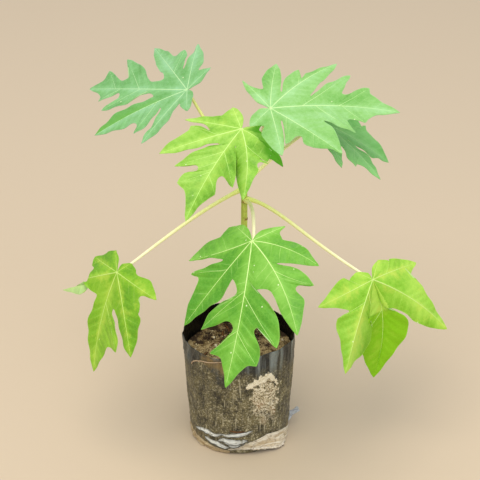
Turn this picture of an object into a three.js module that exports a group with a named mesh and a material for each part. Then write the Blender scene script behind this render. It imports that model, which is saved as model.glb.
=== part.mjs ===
// Papaya seedling in a black film nursery bag. Millimetres, +Z up, the front faces -Y.
// The origin is the middle of the bag's flat underside.
import * as THREE from 'three';

// ---- driving sizes -------------------------------------------------------
const bag = { rimRadius: 55, baseRadius: 50.5, heelRound: 5, height: 118, wall: 1.6, sides: 48 };
const soil = { level: 96, mound: 3, clear: 0.3, collar: 9, rings: 6, sides: 32 };
const stem = {
  base: [2.5, 3, 0], middle: [4.8, 1, 240], top: [4.2, 0, 311],
  flareRadius: 5.2, lowRadius: 3.9, highRadius: 2.7, flareHeight: 16, sides: 14, rings: 15,
};
const petiole = { baseRadius: 2.0, tipRadius: 1.35, sides: 8, rings: 10, clear: 0.3 };
const blade = { thick: 1.8, ribLean: 0.7, arch: 0.02, cup: 0.02, steps: [0, 0.15, 0.32, 0.5, 0.68, 0.85, 1] };

// One entry a leaf. `node` is where the veins meet, `from` the height on the stem where its petiole starts,
// `sag` how far the petiole's control point hangs below a straight line, `side` its heading at the stem. One row a lobe, going round anticlockwise from above:
// [heading, fall below level, length, notch radius to the next lobe, margin on the side of the lobe before,
// margin on the side of the next lobe]; a margin lists its turning points as [along the midrib, out from it].
const leaves = {
  front: {
    node: [11, -127, 294], from: 266, sag: -16, side: -45,
    lobes: [
      [114, 5, 34, 42, [[14, 5], [26, 5]], [[41, 5]]],
      [151, 31, 74, 33, [[52, 15], [62, 10]], [[46, 5]]],
      [196, 51, 97, 37, [[63, 31], [60, 20], [77, 14]], [[47, 15], [58, 15], [69, 10]]],
      [255, 47, 127, 46, [[45, 5], [50, 8], [60, 25], [80, 37], [75, 3], [100, 22], [102, 12], [112, 5]],
        [[58, 34], [75, 45], [91, 45], [77, 21], [93, 29], [107, 28], [108, 18]]],
      [294, 25, 99, 34, [[50, 5], [75, 4]], [[48, 26], [67, 31], [61, 17], [74, 18], [86, 11]]],
      [327, 3, 66, 27, [[50, 5]], [[40, 12], [50, 10], [58, 5]]],
      [369, -22, 31, 0, [[25, 4]], [[11, 6], [22, 3]]],
    ],
  },
  upper_left: {
    node: [-49, 45, 359], from: 291, sag: 4,
    lobes: [
      [38, -29, 32, 25, [[8, 5], [19, 5]], []],
      [82, -18, 68, 33, [[36, 12], [50, 9], [60, 4]], [[44, 7], [54, 3]]],
      [111, -3, 99, 36, [[42, 16], [50, 21], [58, 22], [60, 12], [78, 8]], [[42, 9], [52, 10], [72, 8]]],
      [149, 12, 118, 34, [[44, 9], [67, 30], [96, 44], [79, 20], [77, 13], [109, 27], [108, 13]],
        [[42, 7], [59, 23], [83, 32], [74, 9], [95, 19], [98, 11]]],
      [188, 25, 98, 30, [[48, 12], [69, 14], [84, 9]], [[45, 26], [60, 31], [56, 16], [68, 13]]],
      [232, 25, 73, 21, [[52, 4], [66, 3]], [[34, 9], [50, 11], [60, 8]]],
      [272, 9, 36, 0, [[24, 7]], [[8, 6], [26, 5]]],
    ],
  },
  upper_right: {
    node: [29, 25, 349], from: 300, sag: 3,
    lobes: [
      [236, 11, 34, 29, [[7, 8], [18, 8], [28, 5]], []],
      [278, 13, 70, 22, [[43, 12], [53, 9]], [[48, 5]]],
      [315, 10, 91, 53, [[37, 19], [49, 30], [50, 12], [59, 16], [69, 15], [77, 5]], [[65, 18], [76, 11]]],
      [360, 2, 121, 41, [[62, 28], [77, 37], [72, 16], [87, 21], [91, 13], [103, 6]],
        [[54, 35], [65, 43], [77, 50], [71, 33], [69, 20], [81, 28], [94, 32], [95, 24]]],
      [406, -10, 96, 25, [[58, 10], [80, 6]], [[36, 16], [47, 20], [60, 18], [52, 9], [62, 10], [78, 6]]],
      [444, -14, 70, 26, [[50, 6]], [[40, 12], [52, 9]]],
      [489, -19, 44, 0, [[30, 3]], [[11, 6], [24, 7], [35, 4]]],
    ],
  },
  centre: {
    node: [2, -50, 363], from: 304, sag: -8,
    lobes: [
      [106, -17, 29, 27, [[10, 5], [22, 4]], []],
      [147, 6, 61, 29, [[30, 9], [42, 6]], [[36, 3], [44, 2]]],
      [183, 17, 76, 23, [[34, 17], [44, 24], [47, 17], [63, 12]], [[32, 6], [43, 6], [56, 5]]],
      [229, 40, 96, 18, [[30, 19], [45, 29], [58, 34], [50, 14], [59, 23], [70, 24], [73, 15]],
        [[35, 20], [55, 31], [50, 9], [66, 16], [71, 10]]],
      [271, 26, 77, 36, [[41, 4], [58, 5]], [[41, 23], [40, 14], [48, 14], [60, 8]]],
      [312, 18, 56, 17, [[38, 9], [48, 5]], [[22, 6], [36, 4], [48, 4]]],
      [353, -14, 19, 0, [[14, 5]], [[9, 4]]],
    ],
  },
  right_behind: {
    node: [78, 62, 319], from: 284, sag: -6,
    lobes: [
      [215, -12, 19, 17, [[8, 5]], []],
      [256, -1, 50, 24, [[28, 8]], [[34, 7]]],
      [284, 13, 72, 39, [[48, 7]], [[55, 6]]],
      [316, 25, 85, 32, [[45, 14], [53, 19], [65, 21], [62, 12], [70, 7]], [[34, 12], [58, 18], [71, 10]]],
      [360, 33, 82, 49, [[36, 10], [58, 17], [69, 8]], [[48, 27], [51, 20], [66, 17], [75, 9]]],
      [408, 3, 50, 24, [[47, 10]], [[30, 9]]],
      [443, -9, 28, 0, [], [[14, 5]]],
    ],
  },
  lower_left: {
    node: [-115, -40, 210], from: 277, sag: -15,
    lobes: [
      [95, -22, 26, 33, [[12, 3]], []],
      [121, 9, 49, 38, [[34, 8]], [[44, 8]]],
      [143, 31, 83, 36, [[41, 7], [48, 3], [60, 2]], [[42, 13], [54, 10]]],
      [218, 72, 105, 35, [[50, 20], [65, 21], [71, 18], [85, 13]],
        [[37, 11], [46, 23], [57, 32], [67, 35], [70, 18], [75, 15]]],
      [284, 42, 83, 51, [[50, 9], [71, 7]], [[52, 21], [60, 17], [66, 14]]],
      [312, 3, 59, 23, [[44, 13], [40, 7], [54, 1.5]], [[20, 11], [41, 11]]],
      [360, -35, 17, 0, [], [[8, 5]]],
    ],
  },
  lower_right: {
    node: [126, -40, 202], from: 273, sag: 0,
    lobes: [
      [184, -28, 18, 25, [[7, 4]], []],
      [213, 8, 64, 40, [[28, 14], [39, 12], [50, 6]], [[46, 9]]],
      [245, 46, 93, 36, [[48, 26], [55, 24], [69, 14]], [[42, 26], [61, 28], [78, 12]]],
      [305, 85, 108, 37, [[50, 5], [70, 14], [88, 12]], [[39, 22], [45, 30], [54, 34], [63, 33], [86, 18]]],
      [371, 40, 103, 67, [[45, 11], [55, 11], [67, 12], [86, 8]], [[74, 18], [87, 10]]],
      [406, 9, 69, 29, [[57, 14], [53, 11], [59, 5]], [[32, 13], [48, 9]]],
      [433, -24, 23, 0, [], [[8, 4], [16, 3]]],
    ],
  },
};

const paint = {
  film: { color: 0x2b2a27, roughness: 0.55, metalness: 0 },
  earth: { color: 0x3f2f26, roughness: 0.95, metalness: 0 },
  trunk: { color: 0x6f7a45, roughness: 0.7, metalness: 0 },
  stalk: { color: 0xa9b86a, roughness: 0.6, metalness: 0 },
  green: { color: 0x4f8a3a, roughness: 0.65, metalness: 0 },
};

// ---- helpers -------------------------------------------------------------
const vec = (p) => new THREE.Vector3(...p);
const turn = THREE.MathUtils.degToRad;
const mix = (a, b, t) => a + (b - a) * t;

function aim(heading, fall) {
  const h = turn(heading), f = turn(fall);
  return new THREE.Vector3(Math.cos(h) * Math.cos(f), Math.sin(h) * Math.cos(f), -Math.sin(f));
}

function mesh(name, positions, faces, look) {
  const geometry = new THREE.BufferGeometry();
  geometry.setAttribute('position', new THREE.Float32BufferAttribute(positions.flatMap((p) => [p.x, p.y, p.z]), 3));
  geometry.setIndex(faces.flat());
  geometry.computeVertexNormals();
  const body = new THREE.Mesh(geometry, new THREE.MeshStandardMaterial(look));
  body.name = name;
  return body;
}

// Rings of points, each with the same number of points, joined into one closed skin with a fan at each end.
function skin(name, rings, look) {
  const points = rings.flat(), faces = [], n = rings[0].length;
  for (let r = 0; r + 1 < rings.length; r++) {
    for (let i = 0; i < n; i++) {
      const j = (i + 1) % n, a = r * n, b = a + n;
      faces.push([a + i, a + j, b + j], [a + i, b + j, b + i]);
    }
  }
  for (const [ring, flip] of [[rings[0], true], [rings[rings.length - 1], false]]) {
    const at = flip ? 0 : (rings.length - 1) * n;
    const middle = ring.reduce((s, p) => s.add(p), new THREE.Vector3()).divideScalar(n);
    points.push(middle);
    for (let i = 0; i < n; i++) {
      const j = (i + 1) % n, m = points.length - 1;
      faces.push(flip ? [m, at + j, at + i] : [m, at + i, at + j]);
    }
  }
  return mesh(name, points, faces, look);
}

// A limb of round section along a curve, with radius(t) from its start to its end.
function limb(name, curve, radius, rings, sides, look, endNormal) {
  const frames = [];
  let side = new THREE.Vector3(1, 0, 0);
  for (let k = 0; k <= rings; k++) {
    const t = k / rings, centre = curve.getPoint(t);
    const along = k === 0 && endNormal ? endNormal : curve.getTangent(t);
    side = side.clone().addScaledVector(along, -side.dot(along)).normalize();
    const over = along.clone().cross(side);
    frames.push(Array.from({ length: sides }, (_, i) => {
      const a = turn(360 * i / sides), r = radius(t);
      return centre.clone().addScaledVector(side, r * Math.cos(a)).addScaledVector(over, r * Math.sin(a));
    }));
  }
  return skin(name, frames, look);
}

// ---- bag and soil --------------------------------------------------------
// The film wall is never quite round: its radius and its rim rise and fall a little with the angle.
const sway = (a) => 0.9 * Math.cos(2 * a + 0.4) + 0.5 * Math.cos(5 * a + 1.9);
const rimRise = (a) => -2.7 * Math.sin(2 * a) - 1.9 * Math.sin(a);

function bagRadius(z, a) {
  const t = z / bag.height;
  const heel = Math.max(0, 1 - z / bag.heelRound);
  return mix(bag.baseRadius, bag.rimRadius, Math.min(1, t * 1.15)) + sway(a) * Math.min(1, t * 1.6)
    - bag.heelRound * (1 - Math.sqrt(1 - heel * heel)) * 0.8;
}

function ringAt(z, inset, rise) {
  return Array.from({ length: bag.sides }, (_, i) => {
    const a = turn(360 * i / bag.sides), r = bagRadius(Math.max(0, z), a) - inset;
    return new THREE.Vector3(r * Math.cos(a), r * Math.sin(a), z + rise * rimRise(a));
  });
}

const rimShare = (z) => Math.max(0, (z - 88) / (bag.height - 88));

function growBag() {
  const outer = [0, 1, 2.6, bag.heelRound, 30, 60, 88, 103];
  const inner = [103, 88, 60, 30, bag.heelRound + 1, 3.2, bag.wall];
  const rings = outer.map((z) => ringAt(z, 0, rimShare(z)));
  rings.push(ringAt(bag.height, 0, 1), ringAt(bag.height, bag.wall, 1));
  inner.forEach((z) => rings.push(ringAt(z, bag.wall, rimShare(z))));
  return skin('grow_bag', rings, paint.film);
}

// Soil surface: a low mound with two slow ripples, flat round the stem.
function soilHeight(x, y) {
  const r = Math.hypot(x - stem.base[0], y - stem.base[1]), a = Math.atan2(y, x);
  const away = Math.min(1, Math.max(0, (r - soil.collar) / 14));
  return soil.level + away * (soil.mound * (0.5 * Math.sin(2 * a + 0.8) + 0.35 * Math.cos(x / 9) * Math.sin(y / 11 + 0.5))
    - 1.5 * (r / 50) ** 2);
}

function soilBody() {
  const spread = (z) => Array.from({ length: soil.sides }, (_, i) => {
    const a = turn(360 * i / soil.sides);
    // the bag's wall has straight facets, so the soil keeps clear of them too
    const r = (bagRadius(Math.max(z, bag.heelRound), a) - bag.wall - soil.clear) * Math.cos(Math.PI / soil.sides) - 0.25;
    return new THREE.Vector3(r * Math.cos(a), r * Math.sin(a), z);
  });
  const rings = [spread(bag.wall + soil.clear).map((p) => p.setX(p.x * 0.9).setY(p.y * 0.9)),
    spread(bag.heelRound + 3), spread(52)];
  const edge = spread(soil.level);
  for (let k = 0; k < soil.rings; k++) {
    const share = 1 - k / soil.rings;
    rings.push(edge.map((p) => {
      const x = mix(stem.base[0], p.x, share), y = mix(stem.base[1], p.y, share);
      return new THREE.Vector3(x, y, soilHeight(x, y));
    }));
  }
  return skin('soil', rings, paint.earth);
}

// ---- stem and petioles ---------------------------------------------------
const stemCurve = new THREE.CatmullRomCurve3([
  vec([stem.base[0], stem.base[1], soil.level + soil.clear]), vec([3.6, 2.2, 170]), vec(stem.middle), vec(stem.top),
]);

function stemRadius(t) {
  const up = t * (stem.top[2] - soil.level);
  const flare = (stem.flareRadius - stem.lowRadius) * Math.max(0, 1 - up / stem.flareHeight) ** 2;
  const tip = t > 0.94 ? Math.sqrt(Math.max(0.03, 1 - ((t - 0.94) / 0.06) ** 2)) : 1;
  return (mix(stem.lowRadius, stem.highRadius, t) + flare) * tip;
}

function stemAt(z) {
  let low = 0, high = 1;
  for (let k = 0; k < 30; k++) {
    const t = (low + high) / 2;
    if (stemCurve.getPoint(t).z < z) low = t; else high = t;
  }
  return { centre: stemCurve.getPoint(low), radius: stemRadius(low) };
}

function leafStalk(name, leaf) {
  const { centre, radius } = stemAt(leaf.from);
  const up = leafUp(leaf), slant = vec(leaf.node).sub(centre).normalize().cross(up).length();
  const below = blade.thick / 2 + petiole.clear + petiole.tipRadius * slant;
  const tip = vec(leaf.node).addScaledVector(up, -below);
  const out = leaf.side === undefined ? tip.clone().sub(centre).setZ(0).normalize() : aim(leaf.side, 0);
  const start = centre.clone().addScaledVector(out, radius + petiole.clear);
  const middle = start.clone().lerp(tip, 0.5).add(new THREE.Vector3(0, 0, -leaf.sag));
  const curve = new THREE.QuadraticBezierCurve3(start, middle, tip);
  const size = (t) => mix(petiole.baseRadius, petiole.tipRadius, t) + 0.9 * Math.max(0, 1 - t * 9) ** 2;
  return limb('petiole_' + name, curve, size, petiole.rings, petiole.sides, paint.stalk, out);
}

// ---- leaf blades ---------------------------------------------------------
function leafUp(leaf) {
  const sum = new THREE.Vector3(), dirs = leaf.lobes.map(([h, f]) => aim(h, f));
  dirs.slice(1).forEach((d, i) => sum.add(dirs[i].clone().cross(d)));
  return sum.normalize();
}

// Half a lobe lies in the plane of its own midrib and the next one. Its margin goes out along the line halfway
// to the neighbour as far as the notch, and then from tooth to tooth. Both edges come back as points with the
// place on the midrib that their side vein springs from.
function halfLobe(leaf, index, step) {
  const [heading, fall, length, , before, after] = leaf.lobes[index];
  const along = aim(heading, fall), other = leaf.lobes[index + step], mate = other || leaf.lobes[index - step];
  const toward = aim(mate[0], mate[1]);
  const half = other ? along.angleTo(toward) / 2 : 0;
  const across = toward.addScaledVector(along, -toward.dot(along)).normalize().multiplyScalar(other ? 1 : -1);
  const notch = other ? (step > 0 ? leaf.lobes[index][3] : other[3]) : 0;
  const lengthThere = other ? (length + other[2]) / 2 : length;
  const up = leafUp(leaf);
  const place = ([x, y]) => {
    const reach = Math.hypot(x, y), share = half ? Math.min(1, Math.atan2(y, x) / half) : 0;
    const full = mix(length, lengthThere, share), s = Math.min(1, reach / full);
    const lift = blade.arch * full * 4 * s * (1 - s) + blade.cup * reach * share * share;
    return vec(leaf.node).addScaledVector(along, x).addScaledVector(across, y).addScaledVector(up, lift);
  };
  const web = other ? [0.35, 0.7, 1].map((s) => [s * notch * Math.cos(half), s * notch * Math.sin(half)]) : [];
  const margin = [[0, 0], ...web, ...(step > 0 ? after : before), [length, 0]];
  const midrib = blade.steps.map((s) => [s * length, 0]);
  return [midrib, margin].map((line) => line.map((p) => ({ at: place(p), spring: p[0] - blade.ribLean * p[1] })));
}

// Gives an open sheet its thickness: both faces, moved along the corner normals, and a strip round the rim.
function thicken(name, corners, triangles, thick, look) {
  const normals = corners.map(() => new THREE.Vector3()), edges = new Map();
  for (const [a, b, c] of triangles) {
    const n = corners[b].clone().sub(corners[a]).cross(corners[c].clone().sub(corners[a]));
    [a, b, c].forEach((i) => normals[i].add(n));
    [[a, b], [b, c], [c, a]].forEach(([i, j]) => {
      if (edges.has(j + ',' + i)) edges.delete(j + ',' + i); else edges.set(i + ',' + j, [i, j]);
    });
  }
  normals.forEach((n) => n.normalize());
  const count = corners.length;
  const points = [0.5, -0.5].flatMap((s) => corners.map((p, i) => p.clone().addScaledVector(normals[i], s * thick)));
  const faces = triangles.flatMap(([a, b, c]) => [[a, b, c], [a + count, c + count, b + count]]);
  for (const [i, j] of edges.values()) faces.push([i, i + count, j + count], [i, j + count, j]);
  return mesh(name, points, faces, look);
}

function leafBlade(name, leaf) {
  const corners = [], seen = new Map(), triangles = [];
  const corner = (p) => {
    const key = [p.x, p.y, p.z].map((v) => Math.round(v * 50)).join();
    if (!seen.has(key)) { seen.set(key, corners.length); corners.push(p); }
    return seen.get(key);
  };
  const face = (a, b, c) => { if (a !== b && b !== c && c !== a) triangles.push([a, b, c]); };
  leaf.lobes.forEach((_, index) => [-1, 1].forEach((step) => {
    const [midrib, margin] = halfLobe(leaf, index, step);
    let m = 0, e = 0;
    while (m + 1 < midrib.length || e + 1 < margin.length) {
      const byRib = e + 1 === margin.length || (m + 1 < midrib.length && midrib[m + 1].spring < margin[e + 1].spring);
      const third = byRib ? midrib[m + 1] : margin[e + 1];
      const [a, b, c] = [midrib[m].at, margin[e].at, third.at].map(corner);
      if (step > 0) face(a, c, b); else face(a, b, c);
      if (byRib) m += 1; else e += 1;
    }
  }));
  return thicken('leaf_' + name, corners, triangles, blade.thick, paint.green);
}

// ---- the whole plant -----------------------------------------------------
const plant = new THREE.Group();
plant.name = 'papaya_seedling';
plant.add(growBag(), soilBody());
plant.add(limb('stem', stemCurve, stemRadius, stem.rings, stem.sides, paint.trunk, new THREE.Vector3(0, 0, 1)));
for (const [name, leaf] of Object.entries(leaves)) plant.add(leafStalk(name, leaf), leafBlade(name, leaf));
export default plant;
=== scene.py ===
from functools import partial
import bmesh
import bpy
import numpy as np
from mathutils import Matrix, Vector


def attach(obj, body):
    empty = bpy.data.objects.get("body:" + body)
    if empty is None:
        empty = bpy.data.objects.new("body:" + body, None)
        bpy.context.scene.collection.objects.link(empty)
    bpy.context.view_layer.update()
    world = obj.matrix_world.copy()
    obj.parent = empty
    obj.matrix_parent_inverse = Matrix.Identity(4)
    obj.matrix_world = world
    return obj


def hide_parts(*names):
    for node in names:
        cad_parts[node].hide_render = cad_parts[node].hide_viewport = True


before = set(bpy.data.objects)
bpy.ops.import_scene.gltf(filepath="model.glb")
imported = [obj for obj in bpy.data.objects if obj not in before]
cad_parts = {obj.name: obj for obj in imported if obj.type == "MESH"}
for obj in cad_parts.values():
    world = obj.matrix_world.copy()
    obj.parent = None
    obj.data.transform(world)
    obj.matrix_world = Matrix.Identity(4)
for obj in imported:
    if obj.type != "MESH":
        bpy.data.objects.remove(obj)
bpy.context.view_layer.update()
print("frame loaded:", len(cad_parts), "solids")

# All sizes below are millimetres and degrees; makePiece turns them into metres.
# The front of the plant faces -Y and the bag stands on z = 0. Patterns lie on Object coordinates, which are
# metres, so a noise of scale 100 has blotches 10 mm across; the size of each stands behind its node.


# small tools

def linear(hexColour):  # sRGB hex to a linear colour with full alpha
    parts = [int(hexColour[i:i + 2], 16) / 255 for i in (1, 3, 5)]
    return tuple(p / 12.92 if p <= 0.04045 else ((p + 0.055) / 1.055) ** 2.4 for p in parts) + (1.0,)


def addNode(tree, kind, inputs=None, **settings):
    # one shader node with its settings; an input takes a value, a hex colour, a socket, or another node,
    # whose first output in use is linked
    made = tree.nodes.new("ShaderNode" + kind)
    for key, value in settings.items():
        setattr(made, key, value)
    for key, value in (inputs or {}).items():
        if isinstance(value, bpy.types.Node):
            value = next(socket for socket in value.outputs if socket.enabled)
        if isinstance(value, bpy.types.NodeSocket):
            tree.links.new(value, made.inputs[key])
        else:
            made.inputs[key].default_value = linear(value) if isinstance(value, str) else value
    return made


def newMaterial(name):  # an empty material, and addNode for its own tree
    made = bpy.data.materials.new(name)
    made.use_nodes = True
    made.node_tree.nodes.clear()
    return made, partial(addNode, made.node_tree)


def unit(v):  # vectors brought to length 1
    v = np.asarray(v, float)
    return v / np.maximum(np.linalg.norm(v, axis=-1, keepdims=True), 1e-9)


def aim(heading, fall):  # direction with a heading from +X and a fall below level
    h, f = np.radians(heading), np.radians(fall)
    return np.array([np.cos(h) * np.cos(f), np.sin(h) * np.cos(f), -np.sin(f)])


def smooth(low, high, value):  # 0 at low, 1 at high, with an S-shaped rise between them
    t = np.clip((value - low) / (high - low), 0, 1)
    return t * t * (3 - 2 * t)


def between(ends, t):  # the value at a share t of the way between two ends
    return ends[0] + (ends[1] - ends[0]) * t


def swell(points, length, seed, waves=16):
    # soft noise between about -1 and 1: plane waves of about one length in seeded directions, added up
    rng = np.random.default_rng(seed)
    ways = unit(rng.normal(size=(waves, 3))) * rng.uniform(0.7, 1.3, (waves, 1)) * 2 * np.pi / length
    return np.sin(points @ ways.T + rng.uniform(0, 6.28, waves)).sum(-1) / np.sqrt(waves * 0.9)


def placed(*parts):  # coordinates of any shape put together, x with y and z, or u with v
    return np.stack(np.broadcast_arrays(*parts), -1)


def around(radius, a, z):  # points at a radius, an angle in radians and a height
    return placed(radius * np.cos(a), radius * np.sin(a), z)


def runAlong(path):  # how far each point of a path is along it
    return np.concatenate([[0], np.cumsum(np.linalg.norm(np.diff(path, axis=0), axis=1))])


def sheet(points, uv=None, flip=False, marks=None):
    # a grid of points [row, column, xyz], with UV grids and vertex values
    return {"points": np.asarray(points, float), "uv": uv or {}, "flip": flip, "marks": marks or {}}


weldWithin, noLength = 4e-6, 1e-7  # metres


def makePiece(name, sheets, materials, replaces=(), sharp=50, thick=0, backSlot=0):
    # joins grids into one mesh, welds what meets, gives it a wall if asked, and hands it to the frame
    uvNames = sorted({k for s in sheets for k in s["uv"]})
    markNames = sorted({k for s in sheets for k in s["marks"]})
    corners, quads, uvs, marks, count = [], [], {k: [] for k in uvNames}, {k: [] for k in markNames}, 0
    for s in sheets:
        rows, cols = s["points"].shape[:2]
        index = np.arange(rows * cols).reshape(rows, cols) + count
        face = np.stack([index[:-1, :-1], index[1:, :-1], index[1:, 1:], index[:-1, 1:]], -1).reshape(-1, 4)
        quads.append(face[:, ::-1] if s["flip"] else face)
        corners.append(s["points"].reshape(-1, 3))
        for k in uvNames:
            uvs[k].append(s["uv"].get(k, np.zeros((rows, cols, 2))).reshape(-1, 2))
        for k in markNames:
            marks[k].append(np.broadcast_to(s["marks"].get(k, 0.0), (rows, cols)).reshape(-1))
        count += rows * cols
    corners, quads = np.concatenate(corners) * 0.001, np.concatenate(quads)
    mesh = bpy.data.meshes.new(name)
    mesh.vertices.add(len(corners))
    mesh.vertices.foreach_set("co", corners.ravel())
    mesh.loops.add(quads.size)
    mesh.loops.foreach_set("vertex_index", quads.ravel())
    mesh.polygons.add(len(quads))
    mesh.polygons.foreach_set("loop_start", np.arange(len(quads)) * 4)
    mesh.update(calc_edges=True)
    mesh.polygons.foreach_set("use_smooth", np.ones(len(quads), bool))
    for k in uvNames:
        mesh.uv_layers.new(name=k).data.foreach_set("uv", np.concatenate(uvs[k])[quads.ravel()].ravel())
    for k in markNames:
        mesh.attributes.new(k, "FLOAT", "POINT").data.foreach_set("value", np.concatenate(marks[k]))
    welder = bmesh.new()
    welder.from_mesh(mesh)
    bmesh.ops.remove_doubles(welder, verts=welder.verts, dist=weldWithin)
    bmesh.ops.dissolve_degenerate(welder, edges=welder.edges, dist=noLength)
    welder.to_mesh(mesh)
    welder.free()
    piece = bpy.data.objects.new(name, mesh)
    bpy.context.scene.collection.objects.link(piece)
    for material in materials:
        mesh.materials.append(material)
    if thick:
        wall = piece.modifiers.new("wall", "SOLIDIFY")
        wall.thickness, wall.offset, wall.material_offset = thick * 0.001, 0.0, backSlot
        wall.use_even_offset = False
        bpy.context.view_layer.update()
        solid = bpy.data.meshes.new_from_object(piece.evaluated_get(bpy.context.evaluated_depsgraph_get()))
        piece.modifiers.clear()
        piece.data = solid
    if sharp:
        piece.data.set_sharp_from_angle(angle=np.radians(sharp))
    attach(piece, "root")
    if replaces:
        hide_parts(*replaces)
    return piece


def closed(grid, path):  # a tube's grid with both ends drawn together at the ends of its path
    first, last = (np.broadcast_to(path[i], (1, grid.shape[1], 3)) for i in (0, -1))
    return np.concatenate([first, grid, last])


def tube(path, radius, sides=12, flat=1.0, over=(0, 0, 1), profile=1.0):
    # a round or oval profile carried along a path; over is the direction of the oval's short axis
    path = np.asarray(path, float)
    radius = np.broadcast_to(radius, len(path))
    ahead = unit(np.gradient(path, axis=0))
    side = unit(np.cross(ahead, np.asarray(over, float)))
    top = unit(np.cross(side, ahead))
    angle = np.linspace(0, 2 * np.pi, sides + 1)
    reach = radius[:, None] * (np.ones(sides + 1) * profile)
    grid = (path[:, None] + side[:, None] * (reach * np.cos(angle))[..., None]
            + top[:, None] * (reach * flat * np.sin(angle))[..., None])
    length = runAlong(path)
    length = np.concatenate([length[:1], length, length[-1:]])
    return closed(grid, path), placed(angle[None] / (2 * np.pi), length[:, None] / 100)


# bag

bag = {
    "rimRadius": 55, "baseRadius": 50.5, "heelRound": 5, "height": 118, "wall": 0.3,
    "middle": 53,  # the wall's middle radius, on which its patterns are laid out
    "dents": 0.5, "creases": 0.45, "sag": 0.55, "frillFrom": 88, "frill": 0.5,
    # the mud's middle, as heading and height, its half width in degrees and half height
    "mudCentre": (-61, 64), "mudSize": (17.5, 33), "mudThick": 0.45, "crustThick": 0.9,
    # places along the crust: heading, height and half width
    "crust": [(-81, 86, 2.9), (-74, 90, 3.4), (-66, 93, 4.4), (-58, 95, 3.4), (-51, 89, 1.8),
              (-46, 80, 1.1)],
    # drain holes: heading and height
    "holes": [(-165, 39), (-3, 41), (55, 40), (115, 38), (172, 72), (22, 74), (85, 71)],
    "holeRadius": 3.0, "holeDepth": 1.3,
    "dirtySide": -95, "rimStain": -114, "rimDust": -82, "paintedSheenSide": -40,  # headings
    "columns": 360, "innerRows": 45,  # of the mesh; the inside goes down to below the soil
    # film colours: the sheen is a painted reflection, the inside's near black is painted shade, and the
    # hole's dark brown is painted shade in the openings of the drain holes
    "film": "#171819", "filmCool": "#1d2226", "sheen": "#8f9a9b", "dust": "#726a4a", "dustPale": "#d2caab",
    "inside": "#0b0c09", "hole": "#1a130c",
    "mud": "#cbbc98", "mudPale": "#f2ead2", "mudDark": "#55492f", "mudRust": "#946a40", "earth": "#8b7448",
}


def bagRadius(z, a):  # the plain film's radius at a height and an angle in radians, as the solid has it
    sway = 0.9 * np.cos(2 * a + 0.4) + 0.5 * np.cos(5 * a + 1.9)
    t = z / bag["height"]
    heel = np.maximum(0, 1 - z / bag["heelRound"])
    return (bag["baseRadius"] + (bag["rimRadius"] - bag["baseRadius"]) * np.minimum(1, t * 1.15)
            + sway * np.minimum(1, t * 1.6) - bag["heelRound"] * (1 - np.sqrt(1 - heel ** 2)) * 0.8)


def rimRise(a):  # the rim's rise and fall round the bag
    return -2.7 * np.sin(2 * a) - 1.9 * np.sin(a)


def turnFrom(a, heading):  # the turn in degrees between an angle in radians and a heading, from -180 to 180
    return (np.degrees(a) - heading + 180) % 360 - 180


def onDrum(a, z):  # a place on a plain drum as wide as the wall's middle
    return around(bag["middle"], a, z)


def mudMark(a, z):
    # how much dried mud lies there: an oval that narrows downward, with a ragged edge, thinner at its foot
    across = turnFrom(a, bag["mudCentre"][0]) / bag["mudSize"][0]
    high = (z - bag["mudCentre"][1]) / bag["mudSize"][1]
    across, high = np.broadcast_arrays(across + 0.25 * np.minimum(high, 0), high)
    spot = placed(across * 20, high * 32, 0 * high)
    far = np.hypot(across, high) + 0.13 * swell(spot, 15, 5) + 0.09 * swell(spot, 5, 6)
    return (1 - smooth(0.82, 1.04, far)) * (1 - 0.3 * smooth(0.1, -0.8, high))


def crustMark(a, z):  # the thick pale crust round the top of the mud, a ragged band along its places
    ragged = 0.3 * swell(onDrum(a, z), 4, 52)
    mark = 0.0
    for (turn, height, wide), (turnTo, heightTo, wideTo) in zip(bag["crust"], bag["crust"][1:]):
        x, y = np.radians(turnFrom(a, turn)) * bag["middle"], z - height
        goX, goY = np.radians(turnTo - turn) * bag["middle"], heightTo - height
        t = np.clip((x * goX + y * goY) / (goX ** 2 + goY ** 2), 0, 1)
        far = np.hypot(x - t * goX, y - t * goY) / between((wide, wideTo), t)
        mark = np.maximum(mark, smooth(1.2, 0.75, far + ragged))
    return mark


def holeMark(a, z):  # 1 inside a punched hole, with a soft rim
    mark = 0.0
    for heading, height in bag["holes"]:
        far = np.hypot(np.radians(turnFrom(a, heading)) * bag["middle"], z - height) / bag["holeRadius"]
        mark = np.maximum(mark, smooth(1.15, 0.8, far))
    return mark


def filmRelief(a, z):
    # how far the film stands out: slow dents, upright creases towards the rim, slack folds above the base,
    # dried mud with its crumbs and crust, and the pressed-in punch holes
    place, squat = onDrum(a, z), onDrum(a, z * 0.4)
    dents = bag["dents"] * swell(squat, 26, 11) + 0.22 * swell(squat, 9, 12) + 0.12 * swell(place, 5, 15)
    warp = np.degrees(a) / 17 + 0.9 * swell(squat, 30, 13)
    creases = bag["creases"] * (0.7 - 2 * np.abs(np.sin(np.pi * warp)) ** 0.7) * smooth(72, 112, z)
    level = z / 8 + 0.9 * swell(squat, 34, 14)
    slack = bag["sag"] * (0.5 - np.abs(np.sin(np.pi * level))) * smooth(34, 16, z) * smooth(0.5, 6, z)
    crumbs = 0.25 * swell(place, 2.6, 16) * mudMark(a, z)
    return (dents * smooth(0, 12, z) + creases + slack + bag["mudThick"] * mudMark(a, z) + crumbs
            + bag["crustThick"] * crustMark(a, z) - bag["holeDepth"] * holeMark(a, z))


def filmRadius(a, z):  # the film's radius with its relief
    return bagRadius(z, a) + filmRelief(a, z)


def bagWall(a, z, inset=0.0):  # points of the film, with the frill of its rim
    share = np.maximum(0, (z - bag["frillFrom"]) / (bag["height"] - bag["frillFrom"]))
    frill = bag["frill"] * swell(onDrum(a, 0.0), 16, 17)
    return around(filmRadius(a, z) - inset, a, z + share * (rimRise(a) + frill))


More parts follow.
